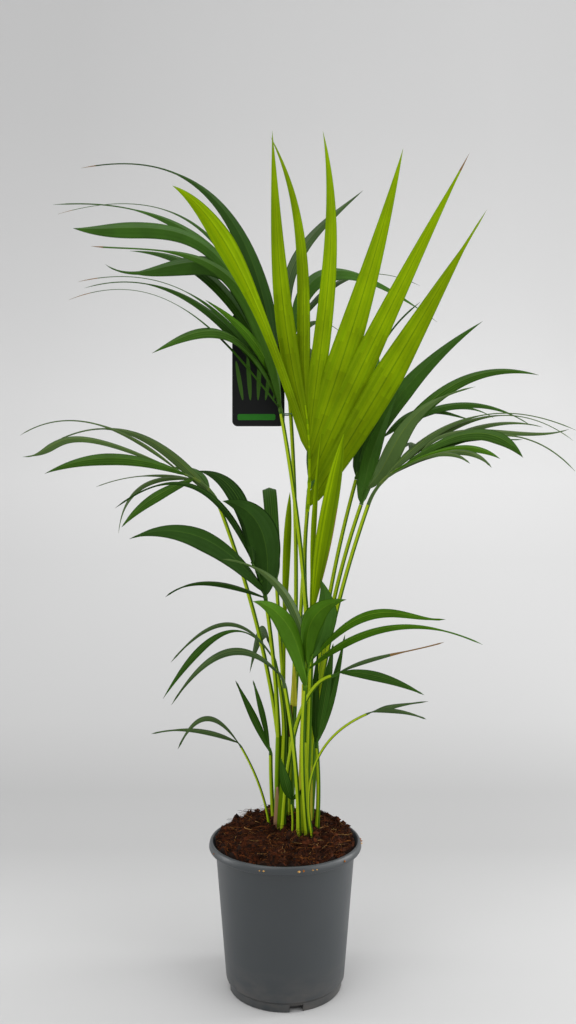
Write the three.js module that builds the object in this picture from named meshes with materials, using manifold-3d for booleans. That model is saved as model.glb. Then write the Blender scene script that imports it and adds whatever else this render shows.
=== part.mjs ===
// Potted kentia palm: a clump of young feather-leaved palms in a round nursery pot.
// Millimetres, +Z up, origin at the centre of the pot's flat underside, -Y towards the viewer.
import * as THREE from 'three';
import { mergeVertices } from 'three/addons/utils/BufferGeometryUtils.js';
import Module from 'manifold-3d';

const wasm = await Module();
wasm.setup();

// Clearance between neighbouring solids
const GAP = 0.3;

// Pot: a 19 cm nursery pot with a rolled rim, a set-in foot and drain notches round the foot
const POT = {
  height: 180,
  rimRadius: 95,
  lipRadius: 92.5,
  rimBand: 11,
  wallTopRadius: 86.5,
  wallFootRadius: 73.8,
  footRadius: 70.3,
  footHeight: 12,
  floorThickness: 10,
  wall: 2.6,
  notches: 4,
  notchWidth: 16,
  notchHeight: 8,
  notchDepth: 9,
};
const SOIL = { crownRadius: 64, crownHeight: 184, edgeHeight: 177 };
const ROUND_SEGMENTS = 36;

// Stems: each is the sheathed foot of one young palm, cut flat at the soil
const STEMS = {
  left: { foot: [-8, 31], top: [-5, 31, 300], footRadius: 9.5, topRadius: 8.2 },
  right: { foot: [24, 8], top: [30, 6, 455], footRadius: 9, topRadius: 7 },
  middle: { foot: [30, 36], top: [36, 35, 290], footRadius: 8.6, topRadius: 7.6 },
  back: { foot: [5, 56], top: [6, 58, 300], footRadius: 9.5, topRadius: 8.2 },
};
const STEM_SIDES = 12;

// Stalks and blades
const PETIOLE = { footRadius: 2.5, kneeRadius: 2.3, sides: 6, steps: 7 };
const RACHIS = { kneeRadius: 2.3, tipRadius: 1.2, sides: 5, steps: 5 };
const LEAF = {
  lastFoot: 0.92,
  thicknessRatio: 0.0108,
  leastThickness: 1.3,
  leastHalfWidth: 1.1,
  tipHalfWidth: 0.25,
  tipShare: 0.05,
  footShare: 0.05,
  longLeaf: 220,
  longSteps: 7,
  shortSteps: 5,
};
// A leaf's usual outline: the share of its width at the foot, the fullest place, the taper's power, the
// share of its length that is a thin tail, that tail's width, how early its arch tops out and how slowly
// it widens
const OUTLINE = { foot: 0.34, full: 0.42, taper: 1.5, tail: 0, thin: 0.12, early: 0, slow: 1 };

// A leaf: where it leaves the midrib (0 knee, 1 end), its tip, how far its middle is lifted and
// swayed off the straight line, its width, how far its upper face turns to the viewer in degrees, and
// what of its outline isn't as usual
const leaf = (at, tip, lift, sway, width, turn, own = {}) => (
  { at, tip, lift, sway, width, turn, ...OUTLINE, ...own }
);

// A frond: the stem that carries it (or soil), its foot there, the knee where its leaves begin, the
// midrib's end, and the sideways and forward bow of its stalk
const FRONDS = {
  crown: {
    stem: 'right', foot: [-3, 3], knee: [28, 12, 588], end: [25, 2, 722], bow: [-3, 2],
    leaves: [
      leaf(0.05, [243, -45, 952], 0, 1.5, 37, 78, {
        full: 0.53, tail: 0.13, taper: 1.1, foot: 0.1, slow: 0.5, early: 2.2,
      }),
      leaf(0.3, [225, -30, 1026], 0, -5, 34, 80, { full: 0.3, tail: 0.1, taper: 1.25, foot: 0.1, slow: 0.4 }),
      leaf(0.55, [146, -15, 1038], 0, 5, 36, 80, {
        full: 0.32, taper: 1.25, foot: 0.1, slow: 0.5, early: -0.2,
      }),
      leaf(0.7, [47, 0, 1066], 0, 15, 22, 80, { full: 0.25, taper: 2.0, foot: 0.1, slow: 0.4, early: -0.6 }),
      leaf(0.6, [-134, -60, 975], 53, 2, 26, 75, {
        full: 0.65, taper: 1.2, early: -0.15, foot: 0.42, slow: 6.5,
      }),
      leaf(0.8, [-16, -18, 1059], 0, -12, 24, 80, {
        full: 0.35, taper: 1.3, foot: 0.1, slow: 0.5, early: 0.4,
      }),
      leaf(0.9, [-19, 18, 1066], 0, 18, 17, 75, {
        full: 0.3, taper: 1.8, foot: 0.1, slow: 0.4, early: -0.95,
      }),
    ],
  },
  high_left: {
    stem: 'right', foot: [-3, -3.6], knee: [-5, 14, 712], end: [-42, 24, 819], bow: [3.5, -9],
    leaves: [
      leaf(0.05, [-254, -70, 837], 52, 16, 12, 20, { tail: 0.4, early: -0.35 }),
      leaf(0.12, [-158, -60, 776], 57, -1, 20, 50, { early: 0.35, full: 0.5 }),
      leaf(0.2, [-250, -40, 866], 56, 17, 18, 30, { tail: 0.45 }),
      leaf(0.05, [-234.5, -40, 909], 82, 24, 29, 60, {
        full: 0.3, tail: 0.3, taper: 1.1, thin: 0.1, early: 0.45,
      }),
      leaf(0.85, [-261, -20, 937], 69, 11, 26, 60, { full: 0.72, early: 0.6, taper: 1.8 }),
      leaf(0.3, [-279, 100, 1057], 104, 47, 27, 60, { full: 0.25, tail: 0.35, taper: 1.1, early: 0.12 }),
      leaf(0.3, [-258, 30, 876], 53, 7, 18, 40, { full: 0.35, tail: 0.3 }),
      leaf(0.6, [-214, 110, 947], 47, 4, 20, 50, { early: 0.25 }),
      leaf(0.7, [-238, 60, 915], 60, 14, 34, 60, { full: 0.65, tail: 0.2, thin: 0.2, early: 1.1 }),
      leaf(0.85, [-308, 90, 991], 80, 38, 11, 30, { tail: 0.4, thin: 0.25, early: 0.1 }),
      leaf(1.0, [-304, 50, 990], 55, 35, 22, 55, { full: 0.35, tail: 0.3, early: 0.1 }),
      leaf(0.45, [-96, -50, 842], 5, 11, 15, 60),
    ],
  },
  high_back: {
    stem: 'back', foot: [2, -4.6], knee: [6, 52, 731], end: [14, 84, 839], bow: [7, -2],
    leaves: [
      leaf(0.5, [84, 150, 838], 36, -10, 12, 40),
      leaf(0.8, [217, 160, 860], 81, -34, 29, 50, { full: 0.5, taper: 1.9, tail: 0.1, early: 0.25 }),
      leaf(1.0, [201, 220, 927], 42, -14, 10, 50, { tail: 0.3 }),
      leaf(0.9, [112, 170, 1052], 18, -36, 17, 60, { early: 0.4 }),
      leaf(0.5, [30, 270, 838], 30, 0, 22, 40),
      leaf(0.7, [54, 275, 765], 36, 0, 22, 40),
    ],
  },
  right_high: {
    stem: 'middle', foot: [-1.5, 4.4], knee: [92, 42, 630], end: [138, 62, 694], bow: [-9, 2],
    leaves: [
      leaf(0.1, [263, 70, 842], 9, -21, 25, 70, { full: 0.48, taper: 1.2 }),
      leaf(0.03, [188, 120, 880], 0, -27, 26, 70, {
        full: 0.15, foot: 0.2, slow: 0.5, tail: 0.35, thin: 0.16, taper: 1.2, early: -1.0,
      }),
      leaf(0.5, [136, 200, 827], 20, 0, 22, 50),
      leaf(1.0, [258, 110, 714], 22, 2, 12, 50, { early: 0.5 }),
      leaf(1.0, [332, 90, 705], 33, 3, 13, 50, { tail: 0.1 }),
      leaf(0.9, [289, 120, 718], 26, 8, 10, 50),
    ],
  },
  right_arch: {
    stem: 'middle', foot: [3.6, 0.6], knee: [96, 14, 597], end: [110, 8, 628], bow: [-12, 0],
    leaves: [
      leaf(0.8, [314, -15, 757], 51, -9, 17, 60, { full: 0.35, taper: 2.0 }),
      leaf(0.7, [231, -36, 740], 8, -21, 26, 50, { full: 0.4, tail: 0.15, early: -1.0 }),
      leaf(0.04, [147, 44, 745], -1, -8, 22, 75, { foot: 0.2, slow: 0.4 }),
    ],
  },
  right_droop: {
    stem: 'middle', foot: [-0.6, -4.4], knee: [103, -12, 597], end: [171, -24, 654], bow: [-9, 0],
    leaves: [
      leaf(0.4, [207, -120, 642], 21, 11, 10, 40, { full: 0.55 }),
      leaf(0.5, [229, -130, 637], 24, 16, 10, 50, { full: 0.55 }),
      leaf(0.6, [243, -110, 648], 20, 10, 14, 50, { full: 0.6 }),
      leaf(0.8, [277, -80, 651], 33, 13, 17, 60, { full: 0.72 }),
      leaf(1.0, [344, -60, 636], 37, 6, 9, 40, { tail: 0.35, early: -0.15 }),
      leaf(1.0, [346, -30, 689], 16, -11, 11, 40, { full: 0.55, early: 1.4 }),
      leaf(0.45, [365, 0, 690], 44, -20, 13, 40, { full: 0.3, tail: 0.4, early: -0.2 }),
      leaf(0.6, [367, 20, 679], 50, 4, 10, 40, { tail: 0.4 }),
      leaf(0.8, [331, 30, 697], 23, 4, 10, 40, { full: 0.5 }),
      leaf(0.7, [279, -70, 673], 17, 9, 7, 40, { tail: 0.2, early: 0.5 }),
      leaf(0.9, [160, 110, 673], 16, 8, 11, 50),
    ],
  },
  left: {
    stem: 'left', foot: [-4, 3.4], knee: [-85, 30, 596], end: [-139, 20, 639], bow: [9, 0],
    leaves: [
      leaf(0.05, [-307, 60, 679], 45, 12, 14, 60, { full: 0.35, tail: 0.25, early: -0.25 }),
      leaf(0.75, [-203, -10, 569], 4, -8, 15, 60, { full: 0.45 }),
      leaf(0.92, [-296, -20, 635], 19, -4, 18, 60, { full: 0.55 }),
      leaf(1.0, [-329, 0, 657], 31.5, -45, 13, 50, { full: 0.75, tail: 0.08, early: 0.8 }),
      leaf(0.7, [-220, 60, 560], 25, -21, 11, 40, { full: 0.55 }),
      leaf(0.65, [-256, 90, 622], 11, -1, 7, 40, { tail: 0.4 }),
      leaf(1.0, [-353, 70, 690], 40, -8, 6, 50, { tail: 0.5, thin: 0.3 }),
      leaf(0.4, [-178, 130, 647], 12, 10, 14, 40),
    ],
  },
  mid_left: {
    stem: 'left', foot: [-3.6, -3.6], knee: [-24, -12, 479], end: [-41, -35, 527], bow: [2.5, 0],
    leaves: [
      leaf(0.04, [-142, -60, 487], 17, -6, 10, 40, { early: -0.2, tail: 0.15 }),
      leaf(0.2, [-178, -100, 557], 33.5, -1, 29, 60, { full: 0.5, tail: 0.08, taper: 1.3 }),
      leaf(0.1, [-75, -50, 601], 26, 19, 40, 75, { full: 0.42, foot: 0.4 }),
      leaf(0.5, [-202, -60, 592], 70, 8, 11, 50, { full: 0.3, tail: 0.2, early: 0.1 }),
      leaf(1.0, [-111, 10, 640], 26, 14, 21, 60, { full: 0.5 }),
    ],
  },
  front: {
    stem: 'soil', foot: [27, -8], knee: [24, -27, 370], end: [33, -55, 418], bow: [-4, 0],
    leaves: [
      leaf(0.1, [-35, -150, 491], 24, 6, 28, 60, { full: 0.45, taper: 1.2 }),
      leaf(0.6, [-73, -95, 534], 30, 18, 14, 50, { full: 0.45, tail: 0.2 }),
      leaf(0.55, [231, -75, 433], 36, 4, 13, 40, { full: 0.3, tail: 0.2, early: 0.15 }),
      leaf(0.8, [180, -120, 468], 33, 10, 13, 60, { full: 0.4, tail: 0.08, early: 0.7 }),
      leaf(0.7, [69, -120, 490], 18, -15, 26, 70, { full: 0.5, taper: 1.2 }),
      leaf(1.0, [43, -25, 506], 1, 12, 27, 75, { full: 0.55, taper: 1.1 }),
    ],
  },
  right_low: {
    stem: 'soil', foot: [-3, 13], knee: [57, -10, 384], end: [68, -12, 390], bow: [-11, -6, 44],
    leaves: [
      leaf(1.0, [165, -60, 371], 7, 0, 13, 60),
      leaf(0.9, [199, 0, 425], 3, -2, 8, 30, { tail: 0.3, early: 1.1 }),
    ],
  },
  right_dark: {
    stem: 'soil', foot: [40, 14], knee: [40, 10, 290], end: [44, 8, 311], bow: [2, 0],
    leaves: [
      leaf(0.3, [75, 0, 435], -2, 2, 12, 75, { tail: 0.08 }),
      leaf(0.6, [60, -5, 425], 2, 1, 13, 75),
      leaf(0.1, [42, 24, 410], -2, -3, 11, 75),
    ],
  },
  left_low: {
    stem: 'soil', foot: [17, -8], knee: [0, -22, 372], end: [-8, -30, 393], bow: [4, 0],
    leaves: [
      leaf(0.7, [-133, -75, 362], 45, -3, 11, 50, { early: 0.1 }),
    ],
  },
  left_mid: {
    stem: 'left', foot: [3.6, -3.6], knee: [-13, 26, 394], end: [-21, 32, 421], bow: [3, 0],
    leaves: [
      leaf(0.15, [-139, -34, 405], 46, 0, 8, 40, { early: 0.15 }),
      leaf(0.05, [-145, -60, 366], 57, 2, 9, 60, { full: 0.72, foot: 0.15, early: 0.15, slow: 4 }),
      leaf(1.0, [-48, 85, 371], 32, 2, 17, 60),
    ],
  },
  left_dark: {
    stem: 'soil', foot: [-15, 45], knee: [-19, 47, 271], end: [-23, 49, 284], bow: [-1, 0],
    leaves: [
      leaf(0.1, [-66, 60, 366], -3, 2, 10, 70, { foot: 0.15, full: 0.5 }),
      leaf(0.6, [-44, 88, 361], 2, 1, 8, 70, { foot: 0.15, full: 0.5 }),
    ],
  },
  left_small: {
    stem: 'soil', foot: [-20, 21], knee: [-56, 20, 288], end: [-61, 19, 295], bow: [6, 0],
    leaves: [
      leaf(1.0, [-132, -20, 296], 34, -3, 8, 50),
      leaf(0.9, [-171, 20, 305], 10, 0, 8, 40, { tail: 0.2 }),
    ],
    slim: true,
  },
  right_small: {
    stem: 'soil', foot: [34, -12], knee: [99, -32, 342], end: [106, -33, 345], bow: [-28, 3, 18],
    leaves: [
      leaf(1.0, [169, -50, 340], 5, -1, 7, 40),
      leaf(1.0, [177, -15, 354], -1, -14, 8, 40, { early: -0.9 }),
    ],
    slim: true,
  },
  seedling: {
    stem: 'soil', foot: [9, -3], knee: [8, 0, 222], end: [8, -2, 229], bow: [1, 0],
    leaves: [
      leaf(1.0, [-6, -18, 286], -3, -1, 14, 70),
      leaf(1.0, [20, -12, 244], 0, 2, 6, 75),
    ],
    slim: true,
  },
  back_left: {
    stem: 'back', foot: [-4.4, 1.6], knee: [-12, 92, 490], end: [-34, 124, 549], bow: [0, -6],
    leaves: [
      leaf(0.1, [-24, 205, 590], 69, -4, 20, 0, { foot: 0.8, full: 0.5, taper: 3.0 }),
      leaf(0.6, [-36, 240, 538], 24, 0, 24, 50),
      leaf(0.5, [-31, 270, 513], 30, 0, 24, 40),
      leaf(0.8, [-52, 290, 545], 20, 0, 24, 50),
      leaf(1.0, [-50, 250, 501], 15, 0, 20, 60),
    ],
  },
  back_right: {
    stem: 'back', foot: [4.4, 1.6], knee: [30, 100, 598], end: [50, 152, 690], bow: [0, -6],
    leaves: [
      leaf(0.2, [132, 260, 730], 30, 0, 26, 50),
      leaf(0.5, [155, 290, 796], 40, 0, 26, 50),
      leaf(0.8, [128, 310, 821], 36, 0, 24, 50),
      leaf(0.35, [61, 300, 669], 40, 0, 24, 40),
      leaf(0.6, [42, 325, 753], 50, 0, 26, 40),
      leaf(0.9, [80, 335, 817], 50, 0, 24, 40),
    ],
  },
  back_low: {
    stem: 'back', foot: [0.4, 4.8], knee: [14, 100, 394], end: [20, 134, 430], bow: [0, -6],
    leaves: [
      leaf(0.4, [69, 240, 372], 15, 0, 22, 50),
      leaf(0.9, [55, 265, 433], 6, 0, 22, 50),
      leaf(0.5, [-10, 245, 377], 15, 0, 22, 50),
      leaf(0.9, [8, 280, 428], 6, 0, 22, 40),
    ],
  },
};

// Spears: young fronds that are still folded shut
const SPEARS = {
  spear_left: {
    stem: 'left', foot: [3.6, 3.4], tip: [6, 24, 614], bow: [-3, 0],
    width: 10, stalk: 0.42, full: 0.6, taper: 2.6,
  },
  spear_middle: {
    stem: 'right', foot: [3, 3.2], tip: [45, -18, 692], bow: [-3, 4],
    width: 7, stalk: 0.1, full: 0.45, taper: 1.4,
  },
  spear_right: {
    stem: 'right', foot: [3.4, -3.2], tip: [71, -40, 683], bow: [-2, 0],
    width: 21, stalk: 0.06, full: 0.46, taper: 2.6,
  },
};

// Plant label: a plain card tied to the stalk of the high back frond
const CARD = { left: -70, right: -1, bottom: 701, top: 850, y: 58, thickness: 1.2, corner: 7 };
const TIE = { height: 716, holeInset: 5, holeRadius: 2.6, wire: 0.8, segments: 16 };

const COLOURS = {
  pot: [0x464b50, 0.55],
  soil: [0x4a2c1c, 0.95],
  stem: [0x7f9a35, 0.6],
  petiole: [0x82a02a, 0.55],
  blade: [0x2c5a28, 0.5],
  young: [0x789b12, 0.5],
  card: [0x15181a, 0.4],
};

const vector = (array) => new THREE.Vector3(...array);

const plant = new THREE.Group();

function addPart(name, geometry, finish) {
  const [color, roughness] = COLOURS[finish];
  const mesh = new THREE.Mesh(geometry, new THREE.MeshStandardMaterial({ color, roughness, metalness: 0 }));
  mesh.name = name;
  plant.add(mesh);
}

// Solids from three.js geometry and back
function toSolid(geometry) {
  const bare = geometry.clone();
  bare.deleteAttribute('normal');
  bare.deleteAttribute('uv');
  const merged = mergeVertices(bare, 1e-4);
  const triVerts = Uint32Array.from(merged.index.array);
  const vertProperties = Float32Array.from(merged.attributes.position.array);
  return new wasm.Manifold(new wasm.Mesh({ numProp: 3, vertProperties, triVerts }));
}

function toGeometry(solid) {
  const mesh = solid.getMesh();
  const geometry = new THREE.BufferGeometry();
  geometry.setAttribute('position', new THREE.BufferAttribute(mesh.vertProperties, 3));
  geometry.setIndex(new THREE.BufferAttribute(mesh.triVerts, 1));
  geometry.computeVertexNormals();
  return geometry;
}

// A loft through rings of equal size, closed by a fan or a flat cap at each end
function loft(rings) {
  const positions = rings.flat().flatMap((point) => point.toArray());
  const size = rings[0].length;
  const faces = [];
  for (let i = 0; i + 1 < rings.length; i += 1) {
    for (let k = 0; k < size; k += 1) {
      const a = i * size + k;
      const b = i * size + ((k + 1) % size);
      faces.push(a, b, b + size, a, b + size, a + size);
    }
  }
  const last = (rings.length - 1) * size;
  for (let k = 1; k + 1 < size; k += 1) {
    faces.push(0, k + 1, k);
    faces.push(last, last + k, last + k + 1);
  }
  const geometry = new THREE.BufferGeometry();
  geometry.setAttribute('position', new THREE.Float32BufferAttribute(positions, 3));
  geometry.setIndex(faces);
  geometry.computeVertexNormals();
  return geometry;
}

// A round limb along a curve; flat ends are level, so a foot stands flat on what is under it
function limb(curve, radiusAt, sides, steps, levelFoot) {
  const rings = [];
  for (let i = 0; i <= steps; i += 1) {
    const t = i / steps;
    const centre = curve.getPoint(t);
    const along = i === 0 && levelFoot ? new THREE.Vector3(0, 0, 1) : curve.getTangent(t);
    const side = new THREE.Vector3(1, 0, 0).addScaledVector(along, -along.x).normalize();
    const front = new THREE.Vector3().crossVectors(along, side);
    const ring = [];
    for (let k = 0; k < sides; k += 1) {
      const angle = (2 * Math.PI * k) / sides;
      const radius = radiusAt(t);
      ring.push(centre.clone()
        .addScaledVector(side, radius * Math.cos(angle))
        .addScaledVector(front, radius * Math.sin(angle)));
    }
    rings.push(ring);
  }
  return loft(rings);
}

const taper = (from, to) => (t) => from + (to - from) * t;

// The bow of a quadratic curve moves its middle by the given offset
function bowed(from, to, offset) {
  const control = from.clone().add(to).multiplyScalar(0.5).addScaledVector(offset, 2);
  return new THREE.QuadraticBezierCurve3(from, control, to);
}

function footOf(spec) {
  if (spec.stem === 'soil') {
    return new THREE.Vector3(spec.foot[0], spec.foot[1], SOIL.crownHeight + GAP);
  }
  const [x, y, z] = STEMS[spec.stem].top;
  return new THREE.Vector3(x + spec.foot[0], y + spec.foot[1], z + GAP);
}

function petioleCurve(frond) {
  const [x, y, z = 0] = frond.bow;
  return bowed(footOf(frond), vector(frond.knee), new THREE.Vector3(x, y, z));
}

// The midrib carries on in the stalk's own direction and bends to its end
function midribCurve(frond) {
  const knee = vector(frond.knee);
  const end = vector(frond.end);
  const heading = petioleCurve(frond).getTangent(1);
  const control = knee.clone().addScaledVector(heading, 0.5 * knee.distanceTo(end));
  return new THREE.QuadraticBezierCurve3(knee.addScaledVector(heading, GAP), control, end);
}

// Share of the full width at t: a rise to the fullest place, a fall, and a thin tail
function outlineAt(shape, t) {
  const body = 1 - shape.tail;
  if (t >= body) return shape.tail > 0 ? (shape.thin * (1 - t)) / shape.tail : 0;
  const u = t / body;
  if (u < shape.full) {
    const rise = Math.sin((Math.PI / 2) * (u / shape.full)) ** shape.slow;
    return shape.foot + (1 - shape.foot) * rise;
  }
  const fall = (u - shape.full) / (1 - shape.full);
  const end = shape.tail > 0 ? shape.thin : 0;
  return end + (1 - end) * (1 - fall ** shape.taper);
}

// The upper face's direction at the middle of a leaf: up, turned towards the viewer
function faceDirection(along, turn) {
  const angle = THREE.MathUtils.degToRad(turn);
  const up = new THREE.Vector3(0, 0, 1).addScaledVector(along, -along.z);
  const viewer = new THREE.Vector3(0, -1, 0).addScaledVector(along, along.y);
  return up.multiplyScalar(Math.cos(angle)).addScaledVector(viewer, Math.sin(angle)).normalize();
}

// A straight line from start to end, lifted by offset at its middle, and sooner the larger early is
class Arch extends THREE.Curve {
  constructor(start, end, offset, early) {
    super();
    this.start = start;
    this.end = end;
    this.offset = offset;
    this.early = early;
  }

  getPoint(t, target = new THREE.Vector3()) {
    const rise = 4 * t * (1 - t) * (1 + this.early * (1 - 2 * t));
    return target.lerpVectors(this.start, this.end, t).addScaledVector(this.offset, rise);
  }
}

// A leaf is a strip with a raised rib above and below, bent along its own curve
function leafSolid(midrib, spec) {
  const base = midrib.getPoint(spec.at * LEAF.lastFoot);
  const curve = new Arch(base, vector(spec.tip), new THREE.Vector3(spec.sway, 0, spec.lift), spec.early);
  const length = curve.getLength();
  const steps = length > LEAF.longLeaf ? LEAF.longSteps : LEAF.shortSteps;
  const thickness = Math.max(LEAF.leastThickness, LEAF.thicknessRatio * length);
  const middle = curve.getTangent(0.5);
  const middleFace = faceDirection(middle, spec.turn);
  const places = Array.from({ length: steps + 1 }, (_, i) => i / steps);
  if (spec.tail > 0) places.push(1 - spec.tail);
  places.sort((a, b) => a - b);
  const rings = places.filter((t, i) => i === 0 || t - places[i - 1] > 0.02).map((t) => {
    const along = curve.getTangent(t);
    const bend = new THREE.Quaternion().setFromUnitVectors(middle, along);
    const face = middleFace.clone().applyQuaternion(bend);
    const side = new THREE.Vector3().crossVectors(face, along);
    const centre = curve.getPoint(t);
    const least = Math.max(LEAF.tipHalfWidth, LEAF.leastHalfWidth * Math.min(1, (1 - t) / LEAF.tipShare));
    const closing = Math.min(1, 0.3 + t / LEAF.footShare);
    const halfWidth = Math.max(least, 0.5 * spec.width * closing * outlineAt(spec, t));
    const rib = 0.5 * thickness * (t < 1 ? 1 : 0.25);
    return [
      centre.clone().addScaledVector(side, halfWidth),
      centre.clone().addScaledVector(face, rib),
      centre.clone().addScaledVector(side, -halfWidth),
      centre.clone().addScaledVector(face, -rib),
    ];
  });
  return toSolid(loft(rings));
}

// A blade: the midrib with its leaves, fused into one thin body
function bladeGeometry(frond) {
  const scale = frond.slim ? 0.6 : 1;
  const midrib = midribCurve(frond);
  const radius = taper(RACHIS.kneeRadius * scale, RACHIS.tipRadius * scale);
  let blade = toSolid(limb(midrib, radius, RACHIS.sides, RACHIS.steps, false));
  frond.leaves.forEach((spec) => {
    blade = blade.add(leafSolid(midrib, spec));
  });
  return toGeometry(blade);
}

// A spear: a stalk that swells into a narrow folded blade and runs out in a point
function spearGeometry(spear) {
  const stalkRadius = 2.1;
  const depthShare = 0.38;
  const steps = 10;
  const shape = { ...OUTLINE, foot: 0.2, full: spear.full, taper: spear.taper };
  const curve = bowed(footOf(spear), vector(spear.tip), new THREE.Vector3(spear.bow[0], spear.bow[1], 0));
  const rings = [];
  for (let i = 0; i <= steps; i += 1) {
    const t = i / steps;
    const blade = Math.max(0, (t - spear.stalk) / (1 - spear.stalk));
    const swell = outlineAt(shape, blade);
    const narrowed = Math.max(0.3, stalkRadius * (1 - 0.85 * blade));
    const halfWidth = Math.max(narrowed, 0.5 * spear.width * swell);
    const halfDepth = Math.max(narrowed, 0.5 * spear.width * depthShare * swell);
    const centre = curve.getPoint(t);
    const ring = [];
    for (let k = 0; k < PETIOLE.sides; k += 1) {
      const angle = (2 * Math.PI * k) / PETIOLE.sides;
      ring.push(centre.clone().add(
        new THREE.Vector3(halfWidth * Math.cos(angle), halfDepth * Math.sin(angle), 0),
      ));
    }
    rings.push(ring);
  }
  return loft(rings);
}

// Pot and soil
function addPot() {
  const wallTop = POT.height - POT.rimBand;
  const floorInner = POT.wallFootRadius - POT.wall;
  const lipInner = POT.lipRadius - POT.wall;
  const profile = [
    [0, 0],
    [POT.footRadius, 0],
    [POT.footRadius + 0.5, POT.footHeight],
    [POT.wallFootRadius, POT.footHeight + 1],
    [POT.wallTopRadius, wallTop],
    [POT.rimRadius - 0.6, wallTop + 0.8],
    [POT.rimRadius, wallTop + 2.5],
    [POT.rimRadius - 0.8, POT.height - 2],
    [POT.lipRadius, POT.height],
    [lipInner, POT.height],
    [POT.wallTopRadius - POT.wall, wallTop - 3],
    [floorInner, POT.floorThickness],
    [0, POT.floorThickness],
  ].map(([r, z]) => new THREE.Vector2(r, z));
  const shell = new THREE.LatheGeometry(profile, ROUND_SEGMENTS).rotateX(Math.PI / 2);
  let pot = toSolid(shell);
  for (let i = 0; i < POT.notches; i += 1) {
    const notch = new THREE.BoxGeometry(POT.notchWidth, 2 * POT.notchDepth, 2 * POT.notchHeight)
      .translate(0, -POT.footRadius, 0)
      .rotateZ((2 * Math.PI * i) / POT.notches + THREE.MathUtils.degToRad(11));
    pot = pot.subtract(toSolid(notch));
  }
  addPart('pot', toGeometry(pot), 'pot');

  const bottom = POT.floorThickness + GAP;
  const soilProfile = [
    [0, bottom],
    [floorInner - GAP, bottom],
    [POT.wallTopRadius - POT.wall - GAP - 0.2, wallTop - 3],
    [POT.wallTopRadius - POT.wall + 0.8, SOIL.edgeHeight],
    [SOIL.crownRadius, SOIL.crownHeight],
    [0, SOIL.crownHeight],
  ].map(([r, z]) => new THREE.Vector2(r, z));
  addPart('soil', new THREE.LatheGeometry(soilProfile, ROUND_SEGMENTS).rotateX(Math.PI / 2), 'soil');
}

function addStems() {
  Object.entries(STEMS).forEach(([name, stem]) => {
    const foot = new THREE.Vector3(stem.foot[0], stem.foot[1], SOIL.crownHeight + GAP);
    const top = vector(stem.top);
    const curve = new THREE.LineCurve3(foot, top);
    const rings = [0, 0.12, 1].map((t) => {
      const flare = t === 0 ? 1.12 : 1;
      const radius = taper(stem.footRadius, stem.topRadius)(t) * flare;
      const centre = curve.getPoint(t);
      return Array.from({ length: STEM_SIDES }, (_, k) => {
        const angle = (2 * Math.PI * k) / STEM_SIDES;
        return centre.clone().add(new THREE.Vector3(radius * Math.cos(angle), radius * Math.sin(angle), 0));
      });
    });
    addPart(`stem_${name}`, loft(rings), 'stem');
  });
}

function addFronds() {
  Object.entries(FRONDS).forEach(([name, frond]) => {
    const scale = frond.slim ? 0.6 : 1;
    const radius = taper(PETIOLE.footRadius * scale, PETIOLE.kneeRadius * scale);
    const stalk = limb(petioleCurve(frond), radius, PETIOLE.sides, PETIOLE.steps, true);
    addPart(`petiole_${name}`, stalk, 'petiole');
    addPart(`blade_${name}`, bladeGeometry(frond), name === 'crown' ? 'young' : 'blade');
  });
  Object.entries(SPEARS).forEach(([name, spear]) => addPart(name, spearGeometry(spear), 'young'));
}

// Label card with rounded corners and a hole, and the round tie through the hole and round the stalk
function addLabel() {
  const width = CARD.right - CARD.left;
  const height = CARD.top - CARD.bottom;
  const c = CARD.corner;
  const shape = new THREE.Shape();
  shape.moveTo(c, 0).lineTo(width - c, 0);
  shape.absarc(width - c, c, c, -Math.PI / 2, 0);
  shape.absarc(width - c, height - c, c, 0, Math.PI / 2);
  shape.absarc(c, height - c, c, Math.PI / 2, Math.PI);
  shape.absarc(c, c, c, Math.PI, 1.5 * Math.PI);
  const hole = new THREE.Path();
  hole.absarc(width - TIE.holeInset, TIE.height - CARD.bottom, TIE.holeRadius, 0, 2 * Math.PI, true);
  shape.holes.push(hole);
  const extent = { depth: CARD.thickness, bevelEnabled: false, curveSegments: 4 };
  const card = new THREE.ExtrudeGeometry(shape, extent)
    .rotateX(Math.PI / 2)
    .translate(CARD.left, CARD.y + CARD.thickness, CARD.bottom);
  addPart('label_card', card, 'card');

  const stalk = petioleCurve(FRONDS.high_back);
  const rise = (TIE.height - stalk.v0.z) / (stalk.v2.z - stalk.v0.z);
  const held = stalk.getPoint(rise);
  const holeCentre = new THREE.Vector3(CARD.right - TIE.holeInset, CARD.y + 0.5 * CARD.thickness, held.z);
  const span = held.distanceTo(holeCentre);
  const radius = 0.5 * (span + TIE.wire + GAP + PETIOLE.kneeRadius + 0.2);
  const centre = holeCentre.clone().lerp(held, radius / span);
  const ring = Array.from({ length: 5 }, (_, k) => {
    const angle = (2 * Math.PI * (k % 4)) / 4;
    return new THREE.Vector2(radius + TIE.wire * Math.cos(angle), TIE.wire * Math.sin(angle));
  });
  const tie = new THREE.LatheGeometry(ring, TIE.segments)
    .rotateX(Math.PI / 2)
    .translate(centre.x, centre.y, TIE.height);
  addPart('label_tie', tie, 'card');
}

addPot();
addStems();
addFronds();
addLabel();

export default plant;
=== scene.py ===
import random
from math import atan2, cos, hypot, pi, radians, sin, sqrt

import bmesh
import bpy
import numpy as np
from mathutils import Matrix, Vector
from mathutils import noise as hash_noise


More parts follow.
